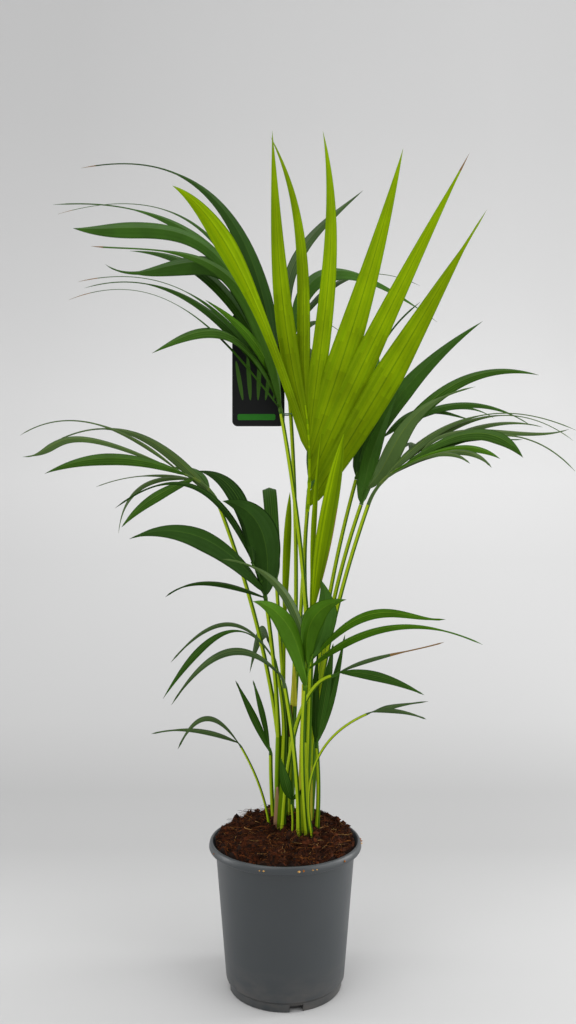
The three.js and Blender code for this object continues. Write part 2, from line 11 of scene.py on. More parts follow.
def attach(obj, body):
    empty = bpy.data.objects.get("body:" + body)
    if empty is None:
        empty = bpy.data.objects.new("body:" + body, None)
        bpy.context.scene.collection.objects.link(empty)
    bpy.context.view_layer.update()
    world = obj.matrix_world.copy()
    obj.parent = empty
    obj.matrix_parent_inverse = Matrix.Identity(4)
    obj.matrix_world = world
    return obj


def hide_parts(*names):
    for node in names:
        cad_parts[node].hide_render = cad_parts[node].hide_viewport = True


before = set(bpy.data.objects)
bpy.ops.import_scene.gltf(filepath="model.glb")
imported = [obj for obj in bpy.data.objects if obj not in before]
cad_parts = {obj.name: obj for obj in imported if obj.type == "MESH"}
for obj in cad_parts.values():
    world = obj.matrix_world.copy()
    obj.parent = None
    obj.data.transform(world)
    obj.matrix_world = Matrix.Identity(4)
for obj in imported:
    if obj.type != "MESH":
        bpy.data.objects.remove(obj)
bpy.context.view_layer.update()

MM = 0.001
BODY = "root"
rng = random.Random(7)

# Camera: its place in metres, its lens and its sensor
CAMERA_PLACE = (0.0035, -1.120, 0.588)
LENS = 31.44
SENSOR = 36.0

# Light from all round, and area lights: place, target and size in metres, power in watts
WORLD_STRENGTH = 0.62
LIGHTS = {
    "key": ((-1.6, -1.9, 2.4), (0, 0, 0.6), (2.2, 2.2), 20),
    "fill": ((2.2, -1.3, 1.4), (0, 0, 0.6), (2.0, 2.0), 21),
    "top": ((0, 0, 3.2), (0, 0, 0.5), (2.6, 2.6), 34),
    "rim_right": ((2.4, 0.4, 0.9), (0, 0, 0.3), (0.7, 1.6), 28),
    "rim_left": ((-2.4, 0.2, 0.7), (0, 0, 0.3), (0.7, 1.4), 16),
}

# Stage: a level sheet that rises in a wide curve at its back, and its greys from the pot to there, which
# paint light and shade on it
STAGE_BACK = 5000.0
STAGE_FRONT = -9000.0
STAGE_SIDE = 9000.0
STAGE_HEIGHT = 7000.0
STAGE_CURVE = 4300.0
STAGE_CURVE_STEPS = 24
STAGE_LIGHT_AND_SHADE = [(0.0, 0.59), (0.05, 0.54), (0.09, 0.47), (0.15, 0.46), (0.25, 0.56), (0.38, 0.65), (0.5, 0.74),
               (0.62, 0.87), (0.74, 0.92), (1.0, 0.90)]

# Pot
POT_HEIGHT = 180.0
RIM_RADIUS = 95.0
LIP_RADIUS = 92.5
RIM_BAND = 11.0
WALL_TOP_RADIUS = 86.5
WALL_FOOT_RADIUS = 73.8
FOOT_RADIUS = 70.3
FOOT_HEIGHT = 12.0
FLOOR_THICKNESS = 10.0
WALL = 2.6
POT_SEGMENTS = 160
NOTCHES = 4
NOTCH_WIDTH = 16.0
NOTCH_HEIGHT = 8.0
NOTCH_DEPTH = 9.0
NOTCH_TURN = 11.0
POT_GREYS = ((0.020, 0.026, 0.030), (0.027, 0.033, 0.037))
POT_DIRT = (0.074, 0.068, 0.062)
DIRT_HEIGHT = 50.0

# Soil: the level that stalks start from, its least level, its mound, and the fineness and seed of its relief
SOIL_TOP = 184.0
LEAST_SOIL = 177.0
MOUND_TOP = 186.0
MOUND_FALL = 7.0
BACK_HEAP = 8.0
BROAD_RELIEF = (0.06, 3.1)
COARSE_RELIEF = (0.13, 8.4)
FINE_RELIEF = (0.6, 5.0)
BED_RADIUS = 87.0
BED_RINGS = 64
BED_SEGMENTS = 190
CRUMBS = 2200
CRUMB_REACH = 86.0
LARGE_CRUMBS = 0.18
FIBRES = 3600
FIBRE_REACH = 84.0
FIBRE_EDGE = 86.5
FIBRE_STEPS = 4
PALE_FIBRES = 0.2

# Coir's colours, linear, from dark to pale
COIR = {"coir_dark": (0.011, 0.0042, 0.0022), "coir_brown": (0.033, 0.0095, 0.003),
        "coir_red": (0.072, 0.0175, 0.0045), "coir_tan": (0.23, 0.08, 0.015), "coir_pale": (0.42, 0.24, 0.08)}
DARK, BROWN, RED, TAN, PALE = range(5)

# Coir caught on the rim: direction in degrees, size and tone
RIM_CRUMBS = [(255, 2.2, PALE), (252, 1.6, PALE), (280, 3.0, PALE), (283, 2.2, TAN), (290, 2.4, PALE),
              (293, 1.8, PALE), (318, 2.6, TAN), (2, 3.6, TAN), (357, 2.8, PALE), (6, 2.4, TAN),
              (205, 1.5, TAN), (140, 1.8, TAN), (80, 1.6, TAN)]

# Lumps that stand out of the coir's back edge: place, size and tone
LUMPS = [(-36, 65, 193, 5.5, BROWN), (-28, 68, 191, 4.0, RED), (60, 55, 187, 5.0, BROWN),
         (68, 46, 187, 4.0, RED), (75, 36, 186, 4.5, BROWN), (-70, 40, 185, 4.0, BROWN)]

# Stems: the foot of each young palm, its top and the radius at its foot
STEMS = {
    "left": {"foot": (-8, 31), "top": (-5, 31, 300), "radius": 9.5},
    "right": {"foot": (24, 8), "top": (30, 6, 455), "radius": 9.0},
    "middle": {"foot": (30, 36), "top": (36, 35, 290), "radius": 8.6},
    "back": {"foot": (5, 56), "top": (6, 58, 300), "radius": 9.5},
}

# Stalks: radii, the share of them on slim fronds, the gap over what carries them, and their depth in the soil
PETIOLE_FOOT = 2.9
PETIOLE_KNEE = 2.5
MIDRIB_END = 1.0
SLIM = 0.6
STALK_GAP = 0.3
ROOT_DEPTH = 4
STALK_SIDES = 14

# Stalks' colours, linear. The pale green is painted light down the stalks' fronts and also colours one
# sheath; the dark green is painted shade down their right sides and in the stems' cores between them
STALKS = {"stalk_green": (0.16, 0.285, 0.003), "stalk_lit_pale": (0.35, 0.475, 0.012),
          "stalk_shade_green": (0.04, 0.1, 0.001), "stalk_yellow": (0.56, 0.52, 0.04),
          "stalk_dry": (0.33, 0.19, 0.1), "stalk_brown": (0.085, 0.045, 0.018)}
STALK_GREEN, STALK_LIT_PALE, STALK_SHADE_GREEN, STALK_YELLOW, STALK_DRY, STALK_BROWN = range(6)

# Old sheaths: the stem or place that each is round, its radius, its lowest and highest level, where it starts
# and ends in radians from the front, its tone and how ragged it is
SHEATHS = [
    ("left", 9.0, (178, 236), (-0.9, 0.1), STALK_DRY, 0.5),
    ("left", 9.2, (178, 268), (-0.3, 0.9), STALK_GREEN, 0.2),
    ("right", 9.4, (178, 300), (-0.7, 0.6), STALK_LIT_PALE, 0.2),
    ("right", 8.6, (236, 372), (-1.2, -0.5), STALK_YELLOW, 0.3),
    ("middle", 9.0, (178, 262), (-0.8, 0.5), STALK_YELLOW, 0.4),
    ((11.3, 53.5), 4.4, (334, 386), (-0.9, 0.9), STALK_YELLOW, 0.2),
    ((7.5, 54.5), 4.6, (294, 336), (-0.7, 0.7), STALK_BROWN, 0.4),
]

# Leaflets: the last one's place on the midrib, their thickness, least half-width, the shares of the length
# over which tip and foot close, their rows, and the most that they twist, in degrees
LAST_FOOT = 0.92
LEAF_THICKNESS = 0.55
LEAST_HALF_WIDTH = 1.25
TIP_SHARE = 0.05
FOOT_SHARE = 0.05
LEAF_ROWS = 40
PLEATED_ROWS = 56
TWIST = 8

# A leaflet's outline: full is where it is widest, tail the share at its tip that is drawn out to the width
# thin, foot its width at its foot, early moves the top of its arch towards its foot, slow keeps it narrow for
# longer, dry is the brown share at its tip and shade adds steps of painted shade to a young leaf
LEAFLET = {"full": 0.42, "tail": 0.0, "early": 0.0, "dry": 0.0, "tint": None, "foot": 0.34, "taper": 1.5,
           "thin": 0.12, "slow": 1, "shade": 0}


def leaf(at, tip, lift, sway, width, turn, **other):
    """A leaflet: its place on the midrib, its tip, its arch, its greatest width and the turn of its face."""
    place = {"at": at, "tip": tip, "lift": lift, "sway": sway, "width": width, "turn": turn}
    return {**LEAFLET, **place, **other}


def frond(stem, foot, knee, end, bow, leaves, tint="dark", slim=False):
    """A frond: its stem, its foot there, its knee, its midrib's end, its stalk's bow and its leaflets."""
    return {"stem": stem, "foot": foot, "knee": knee, "end": end, "bow": bow, "leaves": leaves, "tint": tint,
            "slim": slim}


def spear(stem, foot, tip, bow, width, stalk, full, taper):
    """A furled frond: stalk is the share of its length below the blade."""
    return {"stem": stem, "foot": foot, "tip": tip, "bow": bow, "width": width, "stalk": stalk,
            "shape": {**LEAFLET, "full": full, "taper": taper, "foot": 0.2}}


FRONDS = {
    "crown": frond("right", (-3, 3), (28, 12, 588), (25, 2, 722), (-3, 2), [
        leaf(0.05, (243, -45, 952), 0, 1.5, 37, 78, full=0.53, tail=0.13, taper=1.1, foot=0.1, slow=0.5,
             early=2.2, shade=1),
        leaf(0.3, (225, -30, 1026), 0, -5, 34, 80, full=0.3, tail=0.1, taper=1.25, foot=0.1, slow=0.4,
             dry=0.05),
        leaf(0.55, (146, -15, 1038), 0, 5, 36, 80, full=0.32, taper=1.25, foot=0.1, slow=0.5, early=-0.2),
        leaf(0.7, (47, 0, 1066), 0, 15, 22, 80, full=0.25, taper=2.0, foot=0.1, slow=0.4, early=-0.6),
        leaf(0.6, (-134, -60, 975), 53, 2, 26, 75, full=0.65, taper=1.2, early=-0.15, foot=0.42, slow=6.5),
        leaf(0.8, (-16, -18, 1059), 0, -12, 24, 80, full=0.35, taper=1.3, foot=0.1, slow=0.5, early=0.4,
             shade=1),
        leaf(0.9, (-19, 18, 1066), 0, 18, 17, 75, full=0.3, taper=1.8, foot=0.1, slow=0.4, early=-0.95,
             shade=1),
    ], tint="young"),
    "high_left": frond("right", (-3, -3.6), (-5, 14, 712), (-42, 24, 819), (3.5, -9), [
        leaf(0.05, (-254, -70, 837), 52, 16, 12, 20, tail=0.4, early=-0.35, dry=0.08),
        leaf(0.12, (-158, -60, 776), 57, -1, 20, 50, early=0.35, full=0.5, tint="moss"),
        leaf(0.2, (-250, -40, 866), 56, 17, 18, 30, tail=0.45, dry=0.08),
        leaf(0.05, (-234.5, -40, 909), 82, 24, 29, 60, full=0.3, tail=0.3, taper=1.1, thin=0.1, early=0.45,
             dry=0.05, tint="moss"),
        leaf(0.85, (-261, -20, 937), 69, 11, 26, 60, full=0.72, early=0.6, taper=1.8),
        leaf(0.3, (-279, 100, 1057), 104, 47, 27, 60, full=0.25, tail=0.35, taper=1.1, early=0.12, dry=0.05,
             tint="deep"),
        leaf(0.3, (-258, 30, 876), 53, 7, 18, 40, full=0.35, tail=0.3),
        leaf(0.6, (-214, 110, 947), 47, 4, 20, 50, early=0.25),
        leaf(0.7, (-238, 60, 915), 60, 14, 34, 60, full=0.65, tail=0.2, thin=0.2, early=1.1),
        leaf(0.85, (-308, 90, 991), 80, 38, 11, 30, tail=0.4, thin=0.25, early=0.1, dry=0.05),
        leaf(1.0, (-304, 50, 990), 55, 35, 22, 55, full=0.35, tail=0.3, early=0.1),
        leaf(0.45, (-96, -50, 842), 5, 11, 15, 60, tint="mid"),
    ]),
    "high_back": frond("back", (2, -4.6), (6, 52, 731), (14, 84, 839), (7, -2), [
        leaf(0.5, (84, 150, 838), 36, -10, 12, 40),
        leaf(0.8, (217, 160, 860), 81, -34, 29, 50, full=0.5, taper=1.9, tail=0.1, early=0.25, tint="dark"),
        leaf(1.0, (201, 220, 927), 42, -14, 10, 50, tail=0.3),
        leaf(0.9, (112, 170, 1052), 18, -36, 17, 60, early=0.4),
        leaf(0.5, (30, 270, 838), 30, 0, 22, 40),
        leaf(0.7, (54, 275, 765), 36, 0, 22, 40),
    ], tint="grey"),
    "right_high": frond("middle", (-1.5, 4.4), (92, 42, 630), (138, 62, 694), (-9, 2), [
        leaf(0.1, (263, 70, 842), 9, -21, 25, 70, full=0.48, taper=1.2),
        leaf(0.03, (188, 120, 880), 0, -27, 26, 70, full=0.15, foot=0.2, slow=0.5, tail=0.35, thin=0.16,
             taper=1.2, early=-1.0, tint="deep"),
        leaf(0.5, (136, 200, 827), 20, 0, 22, 50),
        leaf(1.0, (258, 110, 714), 22, 2, 12, 50, early=0.5),
        leaf(1.0, (332, 90, 705), 33, 3, 13, 50, tail=0.1),
        leaf(0.9, (289, 120, 718), 26, 8, 10, 50),
    ]),
    "right_arch": frond("middle", (3.6, 0.6), (96, 14, 597), (110, 8, 628), (-12, 0), [
        leaf(0.8, (314, -15, 757), 51, -9, 17, 60, full=0.35, taper=2.0, tint="moss"),
        leaf(0.7, (231, -36, 740), 8, -21, 26, 50, full=0.4, tail=0.15, early=-1.0, tint="olive"),
        leaf(0.04, (147, 44, 745), -1, -8, 22, 75, foot=0.2, slow=0.4),
    ]),
    "right_droop": frond("middle", (-0.6, -4.4), (103, -12, 597), (171, -24, 654), (-9, 0), [
        leaf(0.4, (207, -120, 642), 21, 11, 10, 40, full=0.55),
        leaf(0.5, (229, -130, 637), 24, 16, 10, 50, full=0.55),
        leaf(0.6, (243, -110, 648), 20, 10, 14, 50, full=0.6, tint="mid"),
        leaf(0.8, (277, -80, 651), 33, 13, 17, 60, full=0.72, tint="moss"),
        leaf(1.0, (344, -60, 636), 37, 6, 9, 40, tail=0.35, early=-0.15),
        leaf(1.0, (346, -30, 689), 16, -11, 11, 40, full=0.55, early=1.4),
        leaf(0.45, (365, 0, 690), 44, -20, 13, 40, full=0.3, tail=0.4, early=-0.2),
        leaf(0.6, (367, 20, 679), 50, 4, 10, 40, tail=0.4),
        leaf(0.8, (331, 30, 697), 23, 4, 10, 40, full=0.5),
        leaf(0.7, (279, -70, 673), 17, 9, 7, 40, tail=0.2, early=0.5, tint="dark"),
        leaf(0.9, (160, 110, 673), 16, 8, 11, 50, tint="grey"),
    ], tint="olive"),
    "left": frond("left", (-4, 3.4), (-85, 30, 596), (-139, 20, 639), (9, 0), [
        leaf(0.05, (-307, 60, 679), 45, 12, 14, 60, full=0.35, tail=0.25, early=-0.25),
        leaf(0.75, (-203, -10, 569), 4, -8, 15, 60, full=0.45, tint="moss"),
        leaf(0.92, (-296, -20, 635), 19, -4, 18, 60, full=0.55, tint="moss"),
        leaf(1.0, (-329, 0, 657), 31.5, -45, 13, 50, full=0.75, tail=0.08, early=0.8),
        leaf(0.7, (-220, 60, 560), 25, -21, 11, 40, full=0.55),
        leaf(0.65, (-256, 90, 622), 11, -1, 7, 40, tail=0.4),
        leaf(1.0, (-353, 70, 690), 40, -8, 6, 50, tail=0.5, thin=0.3),
        leaf(0.4, (-178, 130, 647), 12, 10, 14, 40, tint="dark"),
    ], tint="olive"),
    "mid_left": frond("left", (-3.6, -3.6), (-24, -12, 479), (-41, -35, 527), (2.5, 0), [
        leaf(0.04, (-142, -60, 487), 17, -6, 10, 40, early=-0.2, tail=0.15),
        leaf(0.2, (-178, -100, 557), 33.5, -1, 29, 60, full=0.5, tail=0.08, taper=1.3),
        leaf(0.1, (-75, -50, 601), 26, 19, 40, 75, foot=0.4),
        leaf(0.5, (-202, -60, 592), 70, 8, 11, 50, full=0.3, tail=0.2, early=0.1),
        leaf(1.0, (-111, 10, 640), 26, 14, 21, 60, full=0.5),
    ], tint="deep"),
    "front": frond("soil", (27, -8), (24, -27, 370), (33, -55, 418), (-4, 0), [
        leaf(0.1, (-35, -150, 491), 24, 6, 28, 60, full=0.45, taper=1.2),
        leaf(0.6, (-73, -95, 534), 30, 18, 14, 50, full=0.45, tail=0.2, tint="olive"),
        leaf(0.55, (231, -75, 433), 36, 4, 13, 40, full=0.3, tail=0.2, early=0.15),
        leaf(0.8, (180, -120, 468), 33, 10, 13, 60, full=0.4, tail=0.08, early=0.7),
        leaf(0.7, (69, -120, 490), 18, -15, 26, 70, full=0.5, taper=1.2),
        leaf(1.0, (43, -25, 506), 1, 12, 27, 75, full=0.55, taper=1.1, tint="dark"),
    ], tint="mid"),
    "right_low": frond("soil", (-3, 13), (57, -10, 384), (68, -12, 390), (-11, -6, 44), [
        leaf(1.0, (165, -60, 371), 7, 0, 13, 60),
        leaf(0.9, (199, 0, 425), 3, -2, 8, 30, tail=0.3, early=1.1, tint="grey", dry=0.5),
    ]),
    "right_dark": frond("soil", (40, 14), (40, 10, 290), (44, 8, 311), (2, 0), [
        leaf(0.3, (75, 0, 435), -2, 2, 12, 75, tail=0.08),
        leaf(0.6, (60, -5, 425), 2, 1, 13, 75),
        leaf(0.1, (42, 24, 410), -2, -3, 11, 75),
    ]),
    "left_low": frond("soil", (17, -8), (0, -22, 372), (-8, -30, 393), (4, 0), [
        leaf(0.7, (-133, -75, 362), 45, -3, 11, 50, early=0.1),
    ], tint="grey"),
    "left_mid": frond("left", (3.6, -3.6), (-13, 26, 394), (-21, 32, 421), (3, 0), [
        leaf(0.15, (-139, -34, 405), 46, 0, 8, 40, early=0.15, tint="grey"),
        leaf(0.05, (-145, -60, 366), 57, 2, 9, 60, full=0.72, foot=0.15, early=0.15, slow=4),
        leaf(1.0, (-48, 85, 371), 32, 2, 17, 60, tint="grey"),
    ]),
    "left_dark": frond("soil", (-15, 45), (-19, 47, 271), (-23, 49, 284), (-1, 0), [
        leaf(0.1, (-66, 60, 366), -3, 2, 10, 70, foot=0.15, full=0.5),
        leaf(0.6, (-44, 88, 361), 2, 1, 8, 70, foot=0.15, full=0.5),
    ]),
    "left_small": frond("soil", (-20, 21), (-56, 20, 288), (-61, 19, 295), (6, 0), [
        leaf(1.0, (-132, -20, 296), 34, -3, 8, 50),
        leaf(0.9, (-171, 20, 305), 10, 0, 8, 40, tail=0.2),
    ], tint="grey", slim=True),
    "right_small": frond("soil", (34, -12), (99, -32, 342), (106, -33, 345), (-28, 3, 18), [
        leaf(1.0, (169, -50, 340), 5, -1, 7, 40),
        leaf(1.0, (177, -15, 354), -1, -14, 8, 40, early=-0.9),
    ], tint="grey", slim=True),
    "seedling": frond("soil", (9, -3), (8, 0, 222), (8, -2, 229), (1, 0), [
        leaf(1.0, (-6, -18, 286), -3, -1, 14, 70),
        leaf(1.0, (20, -12, 244), 0, 2, 6, 75),
    ], slim=True),
    "back_left": frond("back", (-4.4, 1.6), (-12, 92, 490), (-34, 124, 549), (0, -6), [
        leaf(0.1, (-24, 205, 590), 69, -4, 20, 0, foot=0.8, full=0.5, taper=3.0),
        leaf(0.6, (-36, 240, 538), 24, 0, 24, 50),
        leaf(0.5, (-31, 270, 513), 30, 0, 24, 40),
        leaf(0.8, (-52, 290, 545), 20, 0, 24, 50),
        leaf(1.0, (-50, 250, 501), 15, 0, 20, 60),
    ]),
    "back_right": frond("back", (4.4, 1.6), (30, 100, 598), (50, 152, 690), (0, -6), [
        leaf(0.2, (132, 260, 730), 30, 0, 26, 50),
        leaf(0.5, (155, 290, 796), 40, 0, 26, 50),
        leaf(0.8, (128, 310, 821), 36, 0, 24, 50),
        leaf(0.35, (61, 300, 669), 40, 0, 24, 40),
        leaf(0.6, (42, 325, 753), 50, 0, 26, 40),
        leaf(0.9, (80, 335, 817), 50, 0, 24, 40),
    ]),
    "back_low": frond("back", (0.4, 4.8), (14, 100, 394), (20, 134, 430), (0, -6), [
        leaf(0.4, (69, 240, 372), 15, 0, 22, 50),
        leaf(0.9, (55, 265, 433), 6, 0, 22, 50),
        leaf(0.5, (-10, 245, 377), 15, 0, 22, 50),
        leaf(0.9, (8, 280, 428), 6, 0, 22, 40),
    ]),
}

SPEARS = {
    "spear_left": spear("left", (3.6, 3.4), (6, 24, 614), (-3, 0), 10, 0.42, 0.6, 2.6),
    "spear_middle": spear("right", (3, 3.2), (45, -18, 692), (-3, 4), 7, 0.1, 0.45, 1.4),
    "spear_right": spear("right", (3.4, -3.2), (71, -40, 683), (-2, 0), 21, 0.06, 0.46, 2.6),
}

# The scene's pieces of foliage and the fronds in each
LEAF_GROUPS = {
    "leaves_high": ("high_left", "high_back", "right_high"),
    "leaves_right": ("right_arch", "right_droop", "right_low", "right_dark", "right_small"),
    "leaves_left": ("left", "mid_left", "left_low", "left_mid", "left_dark", "left_small"),
    "leaves_front": ("front", "seedling"),
    "leaves_back": ("back_left", "back_right", "back_low"),
}

# The label's card, and on it a bare band and a fan of plain leaves
CARD = {"left": -70, "right": -1, "bottom": 701, "top": 850, "corner": 7, "y": 58, "thickness": 1.2}
BAND = {"left": -63, "right": -13, "bottom": 709, "top": 717, "corner": 2.5}
PRINT = 0.12
PRINT_ROOT = 0.02
CARD_LEAVES = 5
CARD_LEAF = {"first": 14, "apart": 10, "foot": 34, "lean": 16, "tall": 66, "half_width": 2.9}
CARD_COLOURS = {"card_dark": ((0.004, 0.005, 0.005), 0.4), "card_green": ((0.02, 0.18, 0.01), 0.45),
                "card_pale": ((0.045, 0.125, 0.01), 0.45)}

# Plain leaf colours, linear: body, vein, rib and underside
PARTS = ("body", "vein", "rib", "under")
TINTS = {
    # deep is the dark tint darkened into painted shade, for leaves that lie in shadow
    "deep": ((0.01, 0.034, 0.002), (0.02, 0.058, 0.006), (0.038, 0.09, 0.01), (0.024, 0.056, 0.01)),
    "dark": ((0.022, 0.067, 0.004), (0.034, 0.096, 0.008), (0.048, 0.112, 0.012), (0.034, 0.076, 0.014)),
    "mid": ((0.038, 0.108, 0.002), (0.056, 0.146, 0.006), (0.09, 0.19, 0.01), (0.062, 0.135, 0.01)),
    "moss": ((0.028, 0.078, 0.004), (0.042, 0.11, 0.009), (0.068, 0.15, 0.012), (0.048, 0.1, 0.012)),
    "olive": ((0.044, 0.086, 0.015), (0.064, 0.12, 0.025), (0.095, 0.148, 0.02), (0.068, 0.108, 0.024)),
    "grey": ((0.032, 0.066, 0.014), (0.05, 0.096, 0.026), (0.075, 0.12, 0.03), (0.066, 0.108, 0.04)),
    "young": ((0.212, 0.335, 0.001), (0.24, 0.365, 0.001), (0.145, 0.255, 0.001), (0.178, 0.298, 0.001)),
}
DRY_COLOUR = (0.2, 0.115, 0.04)

# Each tint's specular level and roughness
SHINE = {"deep": (0.06, 0.48), "dark": (0.07, 0.48), "mid": (0.04, 0.48), "moss": (0.08, 0.48),
         "olive": (0.15, 0.48), "grey": (0.15, 0.55), "young": (0.03, 0.48)}
UNDER_ROUGHNESS = 0.62

# A young leaf's colours get darker in steps of painted shade towards its foot, below this share of its length
YOUNG_SHADE_STEPS = (1.0, 0.87, 0.75, 0.64)
YOUNG_SHADE_REACH = 0.55

# A leaf's tones, in the order of its materials, and how many there are in a step
BODY_TONE, VEIN_TONE, RIB_TONE, UNDER_TONE, DRY_TONE = range(5)
TONES = 5
PLEAT_PLACES = (-1.0, -0.86, -0.62, -0.48, -0.24, -0.05, 0.05, 0.28, 0.46, 0.70, 0.86, 1.0)
PLEAT_SIDE = (UNDER_TONE, BODY_TONE, UNDER_TONE, BODY_TONE, VEIN_TONE)
PLEAT_TONES = (*PLEAT_SIDE, RIB_TONE, *reversed(PLEAT_SIDE))


# Materials
def add_node(tree, kind, values=None, links=None, **settings):
    """A shader node with its settings, its sockets' values and what is linked to them."""
    node = tree.nodes.new(kind)
    for name, setting in settings.items():
        setattr(node, name, setting)
    for socket, value in (values or {}).items():
        node.inputs[socket].default_value = value
    for socket, output in (links or {}).items():
        tree.links.new(output, node.inputs[socket])
    return node


def principled(name, colour, roughness, specular):
    material = bpy.data.materials.new(name)
    material.use_nodes = True
    tree = material.node_tree
    shader = tree.nodes["Principled BSDF"]
    shader.inputs["Base Color"].default_value = (*colour, 1.0)
    shader.inputs["Roughness"].default_value = roughness
    shader.inputs["Specular IOR Level"].default_value = specular
    return material, tree, shader


def object_place(tree):
    return add_node(tree, "ShaderNodeTexCoord").outputs["Object"]


def object_axes(tree):
    return add_node(tree, "ShaderNodeSeparateXYZ", links={"Vector": object_place(tree)}).outputs


def noise(tree, scale, detail=4.0, stretch=(1, 1, 1)):
    mapping = add_node(tree, "ShaderNodeMapping", {"Scale": stretch}, {"Vector": object_place(tree)})
    place = mapping.outputs["Vector"]
    texture = add_node(tree, "ShaderNodeTexNoise", {"Scale": scale, "Detail": detail}, {"Vector": place})
    return texture.outputs["Fac"]


def ramp(tree, value, stops):
    """A colour by value, through stops of a place and a colour."""
    node = add_node(tree, "ShaderNodeValToRGB", links={"Fac": value})
    elements = node.color_ramp.elements
    while len(elements) < len(stops):
        elements.new(0.5)
    for element, (place, colour) in zip(elements, stops):
        element.position = place
        element.color = (*colour, 1.0)
    return node.outputs["Color"]


def span(tree, value, low, high, start=0.0, end=1.0):
    """Low where value is start, high where it is end."""
    limits = {"From Min": start, "From Max": end, "To Min": low, "To Max": high}
    return add_node(tree, "ShaderNodeMapRange", limits, {"Value": value}).outputs["Result"]


def mottle(tree, shader, colour, value, stops):
    """Varies the base colour by value, through stops of a place and a share of it."""
    shades = [(place, tuple(share * c for c in colour)) for place, share in stops]
    tree.links.new(ramp(tree, value, shades), shader.inputs["Base Color"])


def vary_roughness(tree, shader, value, low, high):
    tree.links.new(span(tree, value, low, high), shader.inputs["Roughness"])


def bump(tree, shader, value, strength, distance):
    values = {"Strength": strength, "Distance": distance}
    node = add_node(tree, "ShaderNodeBump", values, {"Height": value})
    tree.links.new(node.outputs["Normal"], shader.inputs["Normal"])


def leaf_material(name, colour, roughness, specular):
    material, tree, shader = principled(name, colour, roughness, specular)
    mottle(tree, shader, colour, noise(tree, 30.0, 5.0, (1, 1, 0.6)), [(0.32, 0.86), (0.68, 1.16)])
    bump(tree, shader, noise(tree, 340.0, 3.0), 0.10, 0.0005)
    vary_roughness(tree, shader, noise(tree, 25.0), roughness - 0.07, roughness + 0.09)
    return material


def leaf_materials():
    """Each tint's tones, in steps of painted shade for the young one, and the dry brown that all share."""
    dry = leaf_material("leaf_dry", DRY_COLOUR, 0.8, 0.1)
    found = {}
    for tint, colours in TINTS.items():
        specular, gloss = SHINE[tint]
        found[tint] = []
        for step, share in enumerate(YOUNG_SHADE_STEPS if tint == "young" else YOUNG_SHADE_STEPS[:1]):
            for part, colour in zip(PARTS, colours):
                name = f"leaf_{tint}_{part}_{step}"
                shaded = tuple(share * c for c in colour)
                roughness = UNDER_ROUGHNESS if part == "under" else gloss
                found[tint].append(leaf_material(name, shaded, roughness, specular))
            found[tint].append(dry)
    return found


def pot_material():
    """Dark grey plastic, clouded, with dried splashes towards its foot."""
    material, tree, shader = principled("pot_plastic", POT_GREYS[0], 0.5, 0.75)
    low = span(tree, object_axes(tree)["Z"], 1.0, 0.0, end=DIRT_HEIGHT * MM)
    patches = span(tree, noise(tree, 38.0, 6.0, (1, 1, 2.2)), -1.1, 2.0)
    dirt = add_node(tree, "ShaderNodeMath", links={0: low, 1: patches}, operation="MULTIPLY", use_clamp=True)
    cloud = ramp(tree, noise(tree, 9.0, 5.0), list(zip((0.3, 0.7), POT_GREYS)))
    links = {0: dirt.outputs["Value"], 6: cloud}
    mix = add_node(tree, "ShaderNodeMix", {7: (*POT_DIRT, 1.0)}, links, data_type="RGBA")
    tree.links.new(mix.outputs[2], shader.inputs["Base Color"])
    bump(tree, shader, noise(tree, 420.0, 3.0), 0.12, 0.0004)
    vary_roughness(tree, shader, noise(tree, 40.0, 5.0, (1, 1, 0.3)), 0.34, 0.52)
    return material


def soil_materials():
    found = []
    for name, colour in COIR.items():
        material, tree, shader = principled(name, colour, 0.92, 0.15)
        mottle(tree, shader, colour, noise(tree, 180.0, 5.0), [(0.35, 0.6), (0.65, 1.4)])
        bump(tree, shader, noise(tree, 700.0, 4.0), 0.5, 0.0008)
        found.append(material)
    return found


def stalk_materials():
    found = []
    for name, colour in STALKS.items():
        material, tree, shader = principled(name, colour, 0.5, 0.06)
        bump(tree, shader, noise(tree, 300.0, 3.0, (1, 1, 0.05)), 0.2, 0.0006)
        found.append(material)
    return found


def card_materials():
    found = []
    for name, (colour, roughness) in CARD_COLOURS.items():
        material, tree, shader = principled(name, colour, roughness, 0.2)
        bump(tree, shader, noise(tree, 90.0, 2.0), 0.05, 0.0005)
        found.append(material)
    return found


def tie_material():
    material, tree, shader = principled("tie_plastic", (0.02, 0.10, 0.015), 0.5, 0.4)
    bump(tree, shader, noise(tree, 500.0, 3.0), 0.15, 0.0003)
    vary_roughness(tree, shader, noise(tree, 60.0), 0.45, 0.6)
    return material


def stage_material():
    """Pale grey with painted light and shade: darker just behind the pot, lighter far from it, and a little
    lighter to the right.
    """
    material, tree, shader = principled("stage_pale", (0.6, 0.6, 0.6), 0.9, 0.1)
    axes = object_axes(tree)
    back = span(tree, axes["Y"], 0.0, 1.0, end=STAGE_BACK * MM)
    # painted light: a little lighter to the right
    painted_side_light = span(tree, axes["X"], 0.92, 1.08, -1.4, 1.4)
    grey = ramp(tree, back, [(place, (level,) * 3) for place, level in STAGE_LIGHT_AND_SHADE])
    links = {"Vector": grey, "Scale": painted_side_light}
    product = add_node(tree, "ShaderNodeVectorMath", links=links, operation="SCALE")
    tree.links.new(product.outputs["Vector"], shader.inputs["Base Color"])
    return material


